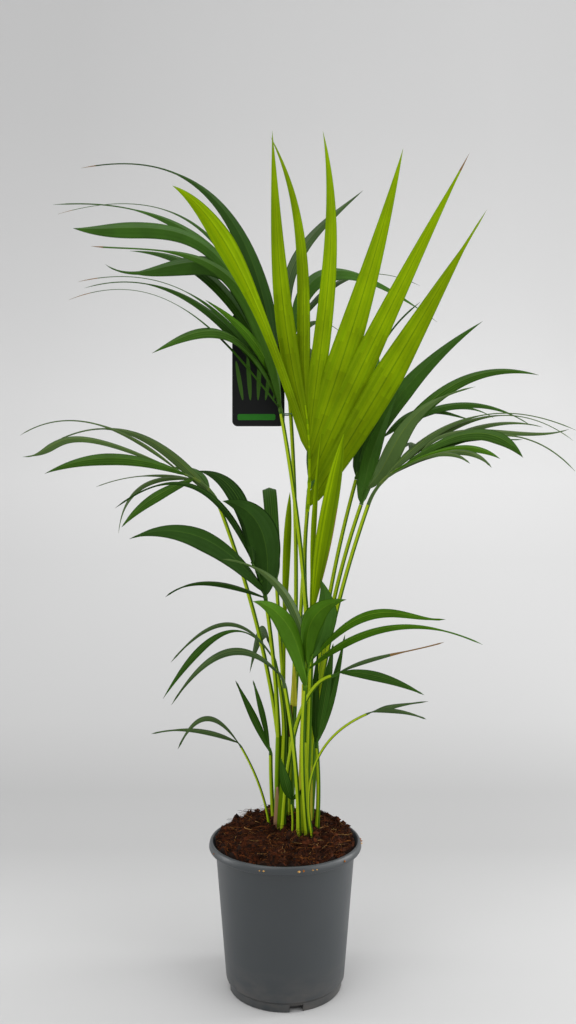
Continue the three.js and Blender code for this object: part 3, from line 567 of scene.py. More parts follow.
# Mesh helpers
class Soup:
    """Grows one joined mesh out of many small ones."""

    def __init__(self):
        self.vertices = []
        self.faces = []
        self.tones = []

    def add(self, vertices, faces, tone=0):
        """Adds faces of one tone, or pairs of a face and its place, with a function that gives its tone."""
        first = len(self.vertices)
        if callable(tone):
            self.tones += [tone(*place) for _, place in faces]
            faces = [face for face, _ in faces]
        else:
            self.tones += [tone] * len(faces)
        self.faces += [tuple(first + i for i in face) for face in faces]
        self.vertices += [tuple(v) for v in vertices]

    def build(self, name, materials, smooth=True):
        mesh = bpy.data.meshes.new(name)
        mesh.from_pydata([tuple(v) for v in np.array(self.vertices, dtype=float) * MM], [], self.faces)
        for material in materials:
            mesh.materials.append(material)
        mesh.polygons.foreach_set("material_index", np.array(self.tones, dtype=np.int32))
        mesh.polygons.foreach_set("use_smooth", [smooth] * len(mesh.polygons))
        mesh.validate()
        mesh.update()
        piece = bpy.data.objects.new(name, mesh)
        bpy.context.collection.objects.link(piece)
        return piece


def turns(count):
    """Angles evenly round a circle."""
    return [2 * pi * k / count for k in range(count)]


def ring_faces(rings, sides):
    """Quads between rings of points, each with its ring and side."""
    quads = []
    for i in range(rings - 1):
        for k in range(sides):
            a = i * sides + k
            b = i * sides + (k + 1) % sides
            quads.append(((a, b, b + sides, a + sides), (i, k)))
    return quads


def sheet_faces(rows, columns):
    """Faces of a thin closed sheet, outer points first, each with its skin, row and column."""
    row = columns + 1
    inner = (rows + 1) * row
    found = []
    for i in range(rows):
        for k in range(columns):
            a = i * row + k
            b = a + 1
            found.append(((a, b, b + row, a + row), ("outer", i, k)))
            found.append(((b + inner, a + inner, a + row + inner, b + row + inner), ("inner", i, k)))
        a = i * row
        found.append(((a + inner, a + row + inner, a + row, a), ("edge", i, 0)))
        a += columns
        found.append(((a, a + row, a + row + inner, a + inner), ("edge", i, columns)))
    for k in range(columns):
        a = rows * row + k
        found.append(((k + 1, k, k + inner, k + 1 + inner), ("end", 0, k)))
        found.append(((a, a + 1, a + 1 + inner, a + inner), ("end", rows, k)))
    return found


def lathe(profile, segments):
    """Turns a profile of radii and heights round the Z axis."""
    rows = len(profile)
    vertices = [(r * cos(a), r * sin(a), z) for a in turns(segments) for r, z in profile]
    faces = []
    for i in range(segments):
        a, b = i * rows, (i + 1) % segments * rows
        faces += [(a + k, b + k, b + k + 1, a + k + 1) for k in range(rows - 1)]
    return vertices, faces


def add_tube(soup, points, radii, sides, tone_of, squash=None):
    """A capped tube; tone_of gives the tone by ring and side, and squash the shape of its section."""
    points = [vector(p) for p in points]
    rings = []
    for i, p in enumerate(points):
        along = unit(points[min(i + 1, len(points) - 1)] - points[max(i - 1, 0)])
        side = unit(np.array([1.0, 0, 0]) - along * along[0])
        front = np.cross(along, side)
        ring = []
        for angle in turns(sides):
            r = radii[i] * (squash(angle) if squash else 1.0)
            ring.append(p + side * r * cos(angle) + front * r * sin(angle))
        rings.append(ring)
    count = len(rings) * sides
    first = tuple(range(count, count + sides))
    last = tuple(k + sides for k in first)
    caps = [(first[::-1], (0, 0)), (last, (len(rings) - 2, 0))]
    vertices = [v for ring in (*rings, rings[0], rings[-1]) for v in ring]
    soup.add(vertices, ring_faces(len(rings), sides) + caps, tone_of)


# Curves
def vector(v):
    return np.array(v, dtype=float)


def unit(v):
    return v / max(1e-9, np.linalg.norm(v))


class Curve:
    """A quadratic curve from start to end."""

    def __init__(self, start, control, end):
        self.points = vector(start), vector(control), vector(end)

    def at(self, t):
        a, b, c = self.points
        return (1 - t) ** 2 * a + 2 * t * (1 - t) * b + t * t * c

    def heading(self, t):
        a, b, c = self.points
        return unit(2 * (1 - t) * (b - a) + 2 * t * (c - b))


def bowed(start, end, offset):
    """A curve whose middle is moved off the straight line by an offset."""
    return Curve(start, 0.5 * (vector(start) + vector(end)) + 2 * vector(offset), end)


class Arch:
    """A straight line from start to end, lifted by offset at its middle, and sooner the larger early is."""

    def __init__(self, start, end, offset, early):
        self.start, self.end, self.offset = vector(start), vector(end), vector(offset)
        self.early = early

    def at(self, t):
        rise = 4 * t * (1 - t) * (1 + self.early * (1 - 2 * t))
        return self.start + (self.end - self.start) * t + self.offset * rise

    def heading(self, t):
        return unit(self.at(min(1.0, t + 1e-3)) - self.at(max(0.0, t - 1e-3)))


def rotate_between(a, b, v):
    """Turns v by the smallest rotation that takes a to b."""
    axis = np.cross(a, b)
    s = np.linalg.norm(axis)
    c = float(np.dot(a, b))
    if s < 1e-8:
        return v
    axis = axis / s
    angle = atan2(s, c)
    return (v * cos(angle) + np.cross(axis, v) * sin(angle)
            + axis * np.dot(axis, v) * (1 - cos(angle)))


def foot_of(spec):
    if spec["stem"] == "soil":
        return vector([*spec["foot"], SOIL_TOP + STALK_GAP])
    return vector(STEMS[spec["stem"]]["top"]) + vector([*spec["foot"], STALK_GAP])


def petiole_curve(spec):
    return bowed(foot_of(spec), spec["knee"], (*spec["bow"], 0)[:3])


def midrib_curve(spec):
    heading = petiole_curve(spec).heading(1)
    knee, end = vector(spec["knee"]), vector(spec["end"])
    control = knee + heading * 0.5 * np.linalg.norm(end - knee)
    return Curve(knee + heading * STALK_GAP, control, end)


# Stage, lights and camera
def add_stage():
    level_end = STAGE_BACK - STAGE_CURVE
    profile = [(STAGE_FRONT, 0.0), (level_end, 0.0)]
    for i in range(1, STAGE_CURVE_STEPS + 1):
        a = 0.5 * pi * i / STAGE_CURVE_STEPS
        profile.append((level_end + STAGE_CURVE * sin(a), STAGE_CURVE * (1 - cos(a))))
    profile.append((STAGE_BACK, STAGE_HEIGHT))
    soup = Soup()
    soup.add([(x, y, z) for y, z in profile for x in (-STAGE_SIDE, STAGE_SIDE)],
             [(a, a + 1, a + 3, a + 2) for a in range(0, 2 * len(profile) - 2, 2)])
    floor = soup.build("stage_sweep", [stage_material()])


def add_light(name, place, target, size, power):
    data = bpy.data.lights.new(name, "AREA")
    data.shape = "RECTANGLE"
    data.size, data.size_y = size
    data.energy = power
    lamp = bpy.data.objects.new(name, data)
    bpy.context.collection.objects.link(lamp)
    lamp.location = place
    lamp.rotation_euler = Vector(vector(target) - vector(place)).to_track_quat("-Z", "Y").to_euler()
    lamp.visible_camera = False


def add_camera():
    """A level camera that looks along +Y."""
    data = bpy.data.cameras.new("camera")
    data.sensor_fit = "AUTO"
    data.sensor_width = SENSOR
    data.lens = LENS
    data.clip_start = 0.05
    camera = bpy.data.objects.new("camera", data)
    camera.location = CAMERA_PLACE
    camera.rotation_euler = (radians(90), 0, 0)
    bpy.context.collection.objects.link(camera)
    bpy.context.scene.camera = camera


def add_world():
    world = bpy.data.worlds.new("world")
    world.use_nodes = True
    background = world.node_tree.nodes["Background"]
    background.inputs["Color"].default_value = (1.0, 1.0, 1.0, 1.0)
    background.inputs["Strength"].default_value = WORLD_STRENGTH
    bpy.context.scene.world = world


# Pot
def near(radius, height, *offsets):
    return [(radius + r, height + z) for r, z in offsets]


def pot_profile():
    """From the middle of the underside round the foot, up the wall, over the rim and down inside."""
    top = POT_HEIGHT - RIM_BAND
    rise = top - 2.2 - FOOT_HEIGHT - 2
    foot = near(FOOT_RADIUS, 0, (-1.2, 0), (-0.3, 0.4), (0, 1.4))
    foot += near(FOOT_RADIUS, FOOT_HEIGHT, (0.5, -1.5), (0.9, -0.4))
    ledge = near(WALL_FOOT_RADIUS, FOOT_HEIGHT, (-1.2, 0.3), (-0.2, 0.9), (0, 2))
    wall = []
    for t in (i / 12 for i in range(1, 12)):
        wall += near(WALL_FOOT_RADIUS, FOOT_HEIGHT + 2, ((WALL_TOP_RADIUS - WALL_FOOT_RADIUS) * t, rise * t))
    shoulder = near(WALL_TOP_RADIUS, top, (0, -2), (0.8, -0.4), (3.5, 0.4))
    rim = near(RIM_RADIUS, top, (-2.2, 0.9), (-0.7, 1.7), (0, 3.4), (-0.3, 6))
    rim += near(RIM_RADIUS, POT_HEIGHT, (-1, -2))
    lip = near(LIP_RADIUS, POT_HEIGHT, (0.6, -0.6), (-0.6, 0))
    lip += near(LIP_RADIUS - WALL, POT_HEIGHT, (0.8, -0.3), (0, -1.4))
    inside = near(WALL_TOP_RADIUS - WALL, top, (1, -1), (0, -3))
    inside += near(WALL_FOOT_RADIUS - WALL, FLOOR_THICKNESS, (0, 0))
    return [(0, 0), *foot, *ledge, *wall, *shoulder, *rim, *lip, *inside, (0, FLOOR_THICKNESS)]


def weld(piece):
    mesh = bmesh.new()
    mesh.from_mesh(piece.data)
    bmesh.ops.remove_doubles(mesh, verts=mesh.verts, dist=1e-5)
    bmesh.ops.recalc_face_normals(mesh, faces=mesh.faces)
    mesh.to_mesh(piece.data)
    mesh.free()


def notch_cutter():
    """A box across the foot's edge for each drain notch."""
    soup = Soup()
    sides = [(0, 3, 2, 1), (4, 5, 6, 7), (0, 1, 5, 4), (1, 2, 6, 5), (2, 3, 7, 6), (3, 0, 4, 7)]
    for turn in turns(NOTCHES):
        a = turn + radians(NOTCH_TURN) - 0.5 * pi
        out = np.array([cos(a), sin(a), 0])
        across = np.array([-sin(a), cos(a), 0])
        corners = []
        for up in (-1, 1):
            for u, v in ((-1, -1), (1, -1), (1, 1), (-1, 1)):
                corners.append(out * (FOOT_RADIUS + u * NOTCH_DEPTH) + across * v * 0.5 * NOTCH_WIDTH
                               + np.array([0, 0, up * NOTCH_HEIGHT]))
        soup.add(corners, sides)
    return soup.build("notch_cutter", [], smooth=False)


def add_pot():
    soup = Soup()
    soup.add(*lathe(pot_profile(), POT_SEGMENTS))
    pot = soup.build("pot_shell", [pot_material()])
    weld(pot)
    cutter = notch_cutter()
    cut = pot.modifiers.new("notches", "BOOLEAN")
    cut.operation = "DIFFERENCE"
    cut.solver = "EXACT"
    cut.object = cutter
    bpy.context.view_layer.objects.active = pot
    bpy.ops.object.modifier_apply(modifier=cut.name)
    bpy.data.objects.remove(cutter)
    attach(pot, BODY)
    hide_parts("pot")


# Soil
def relief(x, y, pattern):
    scale, seed = pattern
    return hash_noise.noise(Vector((x * scale, y * scale, seed)))


def share_of(value, start, reach):
    """How much of the way from start over reach a value has come, from 0 to 1."""
    return min(1.0, max(0.0, (value - start) / reach))


def soil_height(x, y):
    """A mound up to the rim, heaped a little over it at the back, with clods."""
    mound = MOUND_TOP - MOUND_FALL * share_of(hypot(x, y), 44, 42) ** 1.2
    back = BACK_HEAP * share_of(y, 10, 60)
    clods = 9.0 * relief(x, y, BROAD_RELIEF) + 6.5 * relief(x, y, COARSE_RELIEF)
    return max(LEAST_SOIL, mound + back + clods)


# The coir's tone follows the relief: painted shade in its hollows and lighter red on its rises, with some
# tone at random as real coir has
def bed_tone(x, y):
    relief_and_grit = relief(x, y, COARSE_RELIEF) + 0.8 * relief(x, y, FINE_RELIEF) + rng.uniform(-0.25, 0.25)
    if relief_and_grit < -0.08:
        return DARK
    return RED if relief_and_grit > 0.42 else BROWN


def add_bed(materials):
    """The soil's surface, with a skirt that goes down to a flat underside inside the pot."""
    vertices = []
    for i in range(BED_RINGS + 1):
        r = BED_RADIUS * i / BED_RINGS
        for a in turns(BED_SEGMENTS):
            x, y = r * cos(a), r * sin(a)
            vertices.append((x, y, soil_height(x, y) - 1.2 + 1.6 * relief(x, y, FINE_RELIEF)))
    skirt = BED_RADIUS - 4
    first = len(vertices)
    vertices += [(skirt * cos(a), skirt * sin(a), 150.0) for a in turns(BED_SEGMENTS)]

    def tone_of(i, k):
        x, y, _ = vertices[i * BED_SEGMENTS + k]
        return bed_tone(x, y) if i < BED_RINGS else DARK

    soup = Soup()
    underside = tuple(range(first, first + BED_SEGMENTS))[::-1]
    faces = ring_faces(BED_RINGS + 2, BED_SEGMENTS) + [(underside, (BED_RINGS, 0))]
    soup.add(vertices, faces, tone_of)
    bed = soup.build("soil_bed", materials)
    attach(bed, BODY)
    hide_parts("soil")


def soil_place(reach):
    """A random place on the soil, up to a radius: its own radius and coordinates."""
    r = reach * sqrt(rng.random())
    a = rng.uniform(0, 2 * pi)
    return r, r * cos(a), r * sin(a)


def add_crumb(soup, place, size, tone):
    """A small angular lump with eight faces."""
    x, y, z = place
    points = []
    for u, v, w in ((1, 0, 0), (-1, 0, 0), (0, 1, 0), (0, -1, 0), (0, 0, 1), (0, 0, -1)):
        stretch = rng.uniform(0.5, 1.3) * size
        points.append((x + u * stretch + rng.uniform(-0.4, 0.4), y + v * stretch + rng.uniform(-0.4, 0.4),
                       z + 0.7 * w * stretch))
    faces = [(0, 2, 4), (2, 1, 4), (1, 3, 4), (3, 0, 4), (2, 0, 5), (1, 2, 5), (3, 1, 5), (0, 3, 5)]
    soup.add(points, faces, tone)


def add_crumbs(materials):
    soup = Soup()
    for _ in range(CRUMBS):
        r, x, y = soil_place(CRUMB_REACH)
        size = rng.uniform(0.8, 2.4)
        if rng.random() < LARGE_CRUMBS:
            size = rng.uniform(2.6, 5.6)
        size = min(size, CRUMB_REACH + 2.5 - r)
        z = soil_height(x, y) + rng.uniform(-1.2, 0.9)
        tone = rng.choice((DARK, DARK, BROWN, BROWN, BROWN, RED))
        add_crumb(soup, (x, y, z), size, tone)
    for x, y, z, size, tone in LUMPS:
        add_crumb(soup, (x, y, z), size, tone)
    for degrees, size, tone in RIM_CRUMBS:
        a = radians(degrees)
        r = RIM_RADIUS - 0.6
        add_crumb(soup, (r * cos(a), r * sin(a), POT_HEIGHT - 5), size, tone)
    heap = soup.build("soil_crumbs", materials, smooth=False)
    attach(heap, BODY)


def fibre_route():
    """The points and the radius of one loose fibre on the soil, cut at the soil's edge."""
    _, x, y = soil_place(FIBRE_REACH)
    step = rng.uniform(4, 19) / FIBRE_STEPS
    heading = rng.uniform(0, 2 * pi)
    bend = rng.uniform(-0.9, 0.9)
    rise = rng.uniform(-0.1, 0.4)
    radius = rng.uniform(0.12, 0.42)
    z = soil_height(x, y) + rng.uniform(-0.6, 1.2)
    points = []
    for i in range(FIBRE_STEPS + 1):
        if hypot(x, y) > FIBRE_EDGE:
            break
        points.append((x, y, z))
        heading += bend * 0.45
        x += cos(heading) * step
        y += sin(heading) * step
        z = max(z + rise * step * cos(i * 0.9), soil_height(x, y) - 0.3)
    return points, radius


def add_fibres(materials):
    soup = Soup()
    pale = (RED, RED, TAN, TAN, TAN, PALE)
    plain = (DARK, BROWN, BROWN, RED, RED)
    for _ in range(FIBRES):
        points, radius = fibre_route()
        if len(points) < 3:
            continue
        radii = [radius * (1 - 0.6 * i / (len(points) - 1)) for i in range(len(points))]
        tone = rng.choice(pale if rng.random() < PALE_FIBRES else plain)
        add_tube(soup, points, radii, 3, lambda i, k, tone=tone: tone)
    tangle = soup.build("soil_fibres", materials, smooth=False)
    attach(tangle, BODY)


# Stalks
def grooved(angle):
    """A stalk's section: round with a shallow channel."""
    return 1.0 - 0.12 * max(0.0, cos(angle + 1.2)) ** 6


def stalk_tone(unlit=False):
    """Painted light in front unless it is unlit, painted shade down the right side, and green elsewhere."""
    def tone(_, k):
        angle = 2 * pi * (k + 0.5) / STALK_SIDES
        if cos(angle) > 0.42:
            return STALK_SHADE_GREEN
        return STALK_LIT_PALE if -sin(angle) > 0.25 and not unlit else STALK_GREEN
    return tone


def add_stalks(materials):
    soup = Soup()
    nodes = []
    steps = 26
    for name, spec in FRONDS.items():
        scale = SLIM if spec["slim"] else 1.0
        curve = petiole_curve(spec)
        points, radii = [], []
        for i in range(steps + 1):
            flare = 0.5 * (1 - min(1, 6 * i / steps))
            points.append(curve.at(i / steps))
            radii.append(scale * (PETIOLE_FOOT + flare + (PETIOLE_KNEE - PETIOLE_FOOT) * i / steps))
        if spec["stem"] == "soil":
            points[0][2] -= ROOT_DEPTH
            radii[0] *= 1.3
        add_tube(soup, points, radii, STALK_SIDES, stalk_tone(), grooved)
        nodes.append(f"petiole_{name}")
    piece = soup.build("stalks", materials)
    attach(piece, BODY)
    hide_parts(*nodes)


def add_strand(soup, foot, top, lean, unlit):
    """One stalk's part of a stem, gathered in and thicker at the foot."""
    points, radii = [], []
    steps = 22
    for i in range(steps + 1):
        t = i / steps
        gather = 0.75 + 0.25 * t
        sway = 0.8 * sin(3.0 * t + lean[0]) * (1 - t)
        rise = (top + vector([0, 0, STALK_GAP]) - foot) * t
        points.append(foot + rise + lean * gather + vector([sway, 0, 0]))
        radii.append(PETIOLE_FOOT + 0.4 + 0.7 * (1 - t) ** 0.7)
    add_tube(soup, points, radii, STALK_SIDES, stalk_tone(unlit), grooved)


def add_stems(materials):
    """Each stem is the bundle of what it carries, every third strand without the painted light, round a core
    in the painted shade's dark green, which shows in the gaps between strands.
    """
    soup = Soup()
    steps = 8
    for name, stem in STEMS.items():
        carried = [s for s in (*FRONDS.values(), *SPEARS.values()) if s["stem"] == name]
        foot, top = vector([*stem["foot"], SOIL_TOP - ROOT_DEPTH]), vector(stem["top"])
        for number, spec in enumerate(carried):
            add_strand(soup, foot, top, vector([*spec["foot"], 0]), number % 3 == 1)
        thick = 0.5 * stem["radius"]
        core = [foot + (top - foot) * i / steps for i in range(steps + 1)]
        core_radii = [thick + (1.2 - thick) * i / steps for i in range(steps + 1)]
        # the core is painted shade: a dark green seen in the gaps between the strands
        add_tube(soup, core, core_radii, STALK_SIDES, lambda i, k: STALK_SHADE_GREEN)
    piece = soup.build("stems", materials)
    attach(piece, BODY)
    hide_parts(*[f"stem_{name}" for name in STEMS])


def stem_centre(stem, z):
    foot, top = vector([*stem["foot"], SOIL_TOP]), vector(stem["top"])
    x, y, _ = foot + (top - foot) * (z - foot[2]) / (top[2] - foot[2])
    return x, y


def add_sheath(soup, around, radius, levels, ends, tone, ragged):
    """A strip of old sheath that wraps part of a stem and gets narrower towards its top."""
    rows, columns = 16, 8
    low, high = levels
    a0, a1 = (end - 0.5 * pi for end in ends)
    outer, inner = [], []
    for i in range(rows + 1):
        t = i / rows
        level = low + (high - low) * t
        cx, cy = stem_centre(STEMS[around], level) if around in STEMS else around
        half = 0.5 * (a1 - a0) * (1 - 0.75 * t ** 1.6)
        for k in range(columns + 1):
            a = 0.5 * (a0 + a1) + half * (-1 + 2 * k / columns)
            r = radius + 0.3 + ragged * sin(7 * a + 5 * t) * t
            z = level + ragged * 2 * sin(9 * a) * t
            outer.append((cx + (r + 0.4) * cos(a), cy + (r + 0.4) * sin(a), z))
            inner.append((cx + r * cos(a), cy + r * sin(a), z))
    soup.add(outer + inner, sheet_faces(rows, columns), lambda *place: tone)


def add_sheaths(materials):
    soup = Soup()
    for sheath in SHEATHS:
        add_sheath(soup, *sheath)
    piece = soup.build("old_sheaths", materials)
    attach(piece, BODY)


# Leaves
def outline_at(shape, t):
    """Share of the greatest width at t: a rise to the fullest place, a fall, and a thin tail."""
    body = 1 - shape["tail"]
    if t >= body:
        return shape["thin"] * (1 - t) / max(1e-6, shape["tail"])
    u = t / body
    if u < shape["full"]:
        rise = sin(0.5 * pi * u / shape["full"]) ** shape["slow"]
        return shape["foot"] + (1 - shape["foot"]) * rise
    fall = (u - shape["full"]) / (1 - shape["full"])
    end = shape["thin"] if shape["tail"] > 0 else 0.0
    return end + (1 - end) * (1 - fall ** shape["taper"])


def face_direction(along, turn):
    """The way a leaflet's upper side faces: up, turned towards the viewer by an angle in degrees."""
    angle = radians(turn)
    up = np.array([0, 0, 1.0]) - along * along[2]
    viewer = np.array([0, -1.0, 0]) + along * along[1]
    return unit(up * cos(angle) + viewer * sin(angle))


def columns_of(width):
    """Places across a leaf, from -1 to 1, with a narrow rib column in the middle and narrow veins."""
    pairs = 2 if width < 12 else (3 if width < 22 else 4)
    rib = min(0.09, 0.9 / width)
    half = [rib]
    for i in range(pairs):
        vein = rib + (1 - rib) * (i + 0.62) / pairs
        half.append(vein)
        if i < pairs - 1:
            half.append(min(1.0, vein + 0.10 + 0.4 / width))
    half.append(1.0)
    return [-s for s in reversed(half)] + half


def column_tones(places):
    """Rib in the middle, veins in the other narrow columns, and body between."""
    tones = []
    for start, end in zip(places, places[1:]):
        narrow = end - start < 0.16 and abs(start) < 0.93 and abs(end) < 0.93
        tones.append(VEIN_TONE if narrow else BODY_TONE)
    tones[len(tones) // 2] = RIB_TONE
    return tones


def roof_height(s):
    """Height of a folded leaflet's section for s from -1 to 1, as a share of its half-width."""
    return 0.32 * (1 - abs(s)) ** 1.15 + 0.016 * cos(5 * pi * s)


def pleat_height(s):
    """Section of a young leaflet: one deep fold and finer ones beside it."""
    return 0.20 * (1 - abs(s)) + 0.055 * cos(3.5 * pi * s)


def leaf_skins(curve, spec, places, pleated, rows):
    """A leaflet's upper and lower points, row by row from its foot to its tip."""
    waver = rng.uniform(-1, 1)
    height = pleat_height if pleated else roof_height
    middle = curve.heading(0.5)
    middle_face = face_direction(middle, spec["turn"])
    top, bottom = [], []
    for i in range(rows + 1):
        t = i / rows
        along = curve.heading(t)
        twist = radians(TWIST * waver * sin(2.2 * pi * t) * t)
        face = rotate_between(middle, along, middle_face)
        side = np.cross(face, along)
        face, side = (face * cos(twist) + side * sin(twist),
                      side * cos(twist) - face * sin(twist))
        centre = curve.at(t)
        closing = min(1.0, 0.3 + t / FOOT_SHARE)
        least = LEAST_HALF_WIDTH * min(1.0, (1 - t) / TIP_SHARE)
        wide = max(least, 0.5 * spec["width"] * closing * outline_at(spec, t))
        fold = 1.0 if pleated else 1.0 + 1.2 * (1 - min(1.0, t / 0.15))
        squeeze = 1 - 0.25 * (fold - 1)
        depth = LEAF_THICKNESS * (1 - 0.6 * t)
        for s in places:
            point = centre + side * (s * wide * squeeze) + face * (height(s) * wide * fold)
            edge = 0.15 if abs(s) == 1.0 else 1.0
            top.append(point + face * 0.5 * depth * edge)
            bottom.append(point - face * 0.5 * depth * edge)
    return top + bottom


def add_leaf(soup, midrib, spec, first_tone, pleated):
    """One leaflet as a thin closed blade; its tones are counted from first_tone."""
    base = midrib.at(spec["at"] * LAST_FOOT)
    curve = Arch(base, spec["tip"], (spec["sway"], 0, spec["lift"]), spec["early"])
    rows = PLEATED_ROWS if pleated else LEAF_ROWS
    places = PLEAT_PLACES if pleated else columns_of(spec["width"])
    tones_across = PLEAT_TONES if pleated else column_tones(places)
    vertices = leaf_skins(curve, spec, places, pleated, rows)
    shade_reaches = [YOUNG_SHADE_REACH + rng.uniform(-0.07, 0.07) for _ in tones_across]

    def tone_of(skin, i, k):
        if skin != "end" and (i + 0.5) / rows > 1 - spec["dry"]:
            return DRY_TONE
        if skin in ("end", "edge"):
            return BODY_TONE
        tone = tones_across[k] if skin == "outer" else UNDER_TONE
        # painted shade: a young leaf darkens in steps towards its foot, and further by its shade
        if pleated:
            step = spec["shade"] + max(0, int(len(YOUNG_SHADE_STEPS) * (1 - i / rows / shade_reaches[k])))
            return tone + TONES * min(step, len(YOUNG_SHADE_STEPS) - 1)
        return BODY_TONE if tone == RIB_TONE and i / rows > 0.85 else tone

    soup.add(vertices, sheet_faces(rows, len(places) - 1), lambda *place: first_tone + tone_of(*place))


def add_midrib(soup, spec, first_tone):
    """The midrib that the leaflets stand on, with a small pale swelling at each leaflet's foot."""
    scale = SLIM if spec["slim"] else 1.0
    curve = midrib_curve(spec)
    steps = 40
    feet = [one["at"] * LAST_FOOT for one in spec["leaves"]]
    points, radii, swollen = [], [], []
    for i in range(steps + 1):
        t = i / steps
        swell = max(0.0, 1 - min(abs(t - foot) for foot in feet) / 0.03)
        points.append(curve.at(t))
        radii.append(scale * (PETIOLE_KNEE + (MIDRIB_END - PETIOLE_KNEE) * t + 0.5 * swell))
        swollen.append(swell > 0.2)
    add_tube(soup, points, radii, 10, lambda i, k: first_tone + (RIB_TONE if swollen[i] else VEIN_TONE))


def add_frond(soup, spec, first):
    """A frond's midrib and leaflets; first says where each tint's tones start."""
    midrib = midrib_curve(spec)
    add_midrib(soup, spec, first[spec["tint"]])
    for one in spec["leaves"]:
        tint = one["tint"] or spec["tint"]
        add_leaf(soup, midrib, one, first[tint], tint == "young")


def add_fronds(palette):
    """The grown fronds, joined by group, each group with the materials of its tints."""
    for group, names in LEAF_GROUPS.items():
        tints = {FRONDS[name]["tint"] for name in names}
        tints |= {one["tint"] for name in names for one in FRONDS[name]["leaves"] if one["tint"]}
        used = [tint for tint in TINTS if tint in tints]
        first = {tint: TONES * i for i, tint in enumerate(used)}
        soup = Soup()
        for name in names:
            add_frond(soup, FRONDS[name], first)
        piece = soup.build(group, [material for tint in used for material in palette[tint]])
        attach(piece, BODY)
        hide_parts(*[f"blade_{name}" for name in names])


def add_crown(palette):
    """The young fan, pleated and yellow-green."""
    soup = Soup()
    add_frond(soup, FRONDS["crown"], {"young": 0})
    piece = soup.build("crown_frond", palette["young"])
    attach(piece, BODY)
    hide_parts("blade_crown")


def spear_tone(u, t, front):
    """Stripes down a furled blade: pale at its left, where u is -1, and dark and brown-edged at its right;
    the darkness is painted shade, in the young colours' shaded steps, deepest at its middle and right.
    """
    if not front:
        return UNDER_TONE
    if t > 0.985 or (u > 0.93 and 0.1 < t < 0.6):
        return DRY_TONE
    # painted shade: the middle and right take the young colours' darker shaded steps
    if u > 0.1:
        return (UNDER_TONE if u < 0.4 or u > 0.75 else RIB_TONE) + TONES * (3 if u > 0.5 else 2)
    if u > -0.1:
        return RIB_TONE + TONES * 3
    return VEIN_TONE if -0.85 < u < -0.6 or -0.4 < u < -0.25 else UNDER_TONE + TONES


def spear_points(spec, steps, sides):
    """A stalk that opens into a flat furled blade with shallow pleats."""
    curve = bowed(foot_of(spec), spec["tip"], (*spec["bow"], 0))
    points = []
    for i in range(steps + 1):
        t = i / steps
        blade = max(0.0, (t - spec["stalk"]) / (1 - spec["stalk"]))
        swell = outline_at(spec["shape"], blade)
        least = max(0.5, 2.1 * (1 - 0.75 * blade)) * (1 - blade ** 6)
        wide = max(least, 0.5 * spec["width"] * swell)
        deep = max(least, 0.19 * spec["width"] * swell)
        for a in turns(sides):
            pleat = 1.0 + 0.10 * swell * cos(6 * a)
            points.append(curve.at(t) + np.array([wide * cos(a), deep * sin(a) * pleat, 0]))
    return points


def add_spears(palette):
    """The fronds that are still folded shut."""
    soup = Soup()
    steps, sides = 48, 28
    first, last = range(sides), range(steps * sides, (steps + 1) * sides)
    caps = [(tuple(first)[::-1], ("foot", 0)), (tuple(last), ("tip", 0))]

    def tone_of(i, k):
        if i in ("foot", "tip"):
            return BODY_TONE if i == "foot" else DRY_TONE
        angle = 2 * pi * (k + 0.5) / sides
        return spear_tone(cos(angle), i / steps, sin(angle) < 0)

    for spec in SPEARS.values():
        soup.add(spear_points(spec, steps, sides), ring_faces(steps + 1, sides) + caps, tone_of)
    piece = soup.build("spears", palette["young"])
    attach(piece, BODY)
    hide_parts(*SPEARS)


# Label
def rounded_rectangle(box):
    steps = 8
    corner = box["corner"]
    left, right = box["left"] + corner, box["right"] - corner
    low, high = box["bottom"] + corner, box["top"] - corner
    points = []
    for x, z, start in ((right, low, -90), (right, high, 0), (left, high, 90), (left, low, 180)):
        for i in range(steps + 1):
            a = radians(start + 90 * i / steps)
            points.append((x + corner * cos(a), z + corner * sin(a)))
    return points


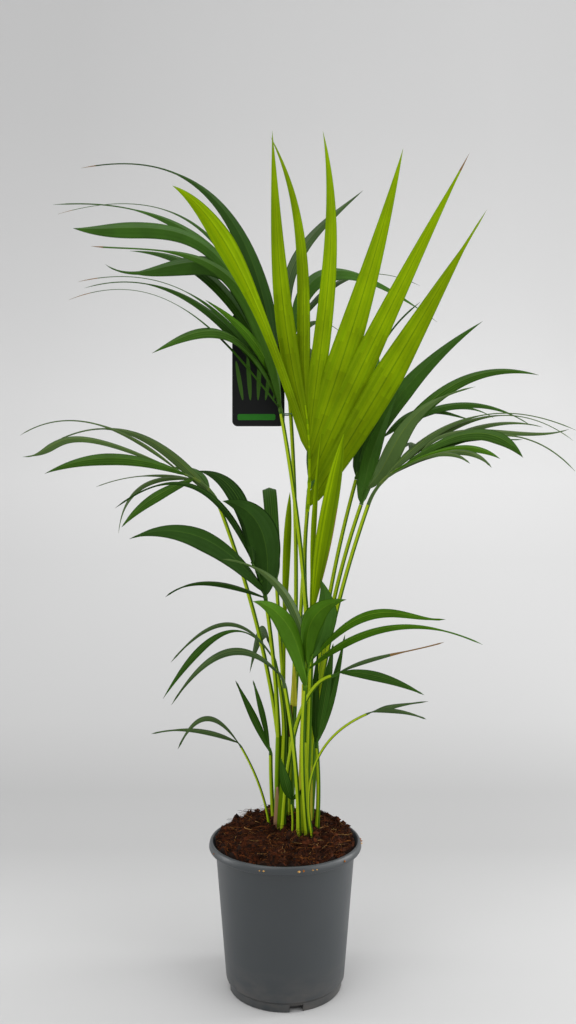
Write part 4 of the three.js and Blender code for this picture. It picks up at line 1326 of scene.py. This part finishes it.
def card_leaf(number):
    """One of the fan's leaves: a leaning ellipse, the middle one the tallest."""
    x = CARD["left"] + CARD_LEAF["first"] + CARD_LEAF["apart"] * number
    z = CARD["bottom"] + CARD_LEAF["foot"]
    tall = CARD_LEAF["tall"] - 6 * abs(number - CARD_LEAVES // 2)
    slant = radians(CARD_LEAF["lean"] - 10 * number)
    points = []
    for a in turns(24):
        u, v = CARD_LEAF["half_width"] * cos(a), 0.5 * tall * (1 + sin(a))
        points.append((x + u * cos(slant) - v * sin(slant) * 0.6, z + v * cos(slant)))
    return points


def plate(soup, outline, y0, y1, tone):
    """A flat plate in the XZ plane from y0, in front, to y1."""
    n = len(outline)
    vertices = [(x, y0, z) for x, z in outline] + [(x, y1, z) for x, z in outline]
    faces = [tuple(range(n)), tuple(range(n, 2 * n))[::-1]]
    for k in range(n):
        j = (k + 1) % n
        faces.append((j, k, k + n, j + n))
    soup.add(vertices, faces, tone)


def add_label():
    soup = Soup()
    front = CARD["y"]
    plate(soup, rounded_rectangle(CARD), front, front + CARD["thickness"], 0)
    plate(soup, rounded_rectangle(BAND), front - PRINT, front + PRINT_ROOT, 1)
    for number in range(CARD_LEAVES):
        plate(soup, card_leaf(number), front - PRINT - 0.02 * number, front + PRINT_ROOT, 2)
    card = soup.build("label_face", card_materials(), smooth=False)
    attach(card, BODY)
    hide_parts("label_card")


def add_tie():
    """The thin wire tie that holds the card keeps its own solid and gets a green plastic finish."""
    material = tie_material()
    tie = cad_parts["label_tie"]
    for slot in tie.material_slots:
        slot.material = material


add_camera()
add_world()
add_stage()
for light, settings in LIGHTS.items():
    add_light(light, *settings)
bpy.context.scene.view_settings.view_transform = "Standard"

leaf_palette = leaf_materials()
stalk_palette = stalk_materials()
soil_palette = soil_materials()
add_pot()
add_bed(soil_palette)
add_crumbs(soil_palette)
add_fibres(soil_palette)
add_stems(stalk_palette)
add_stalks(stalk_palette)
add_sheaths(stalk_palette)
add_fronds(leaf_palette)
add_crown(leaf_palette)
add_spears(leaf_palette)
add_label()
add_tie()
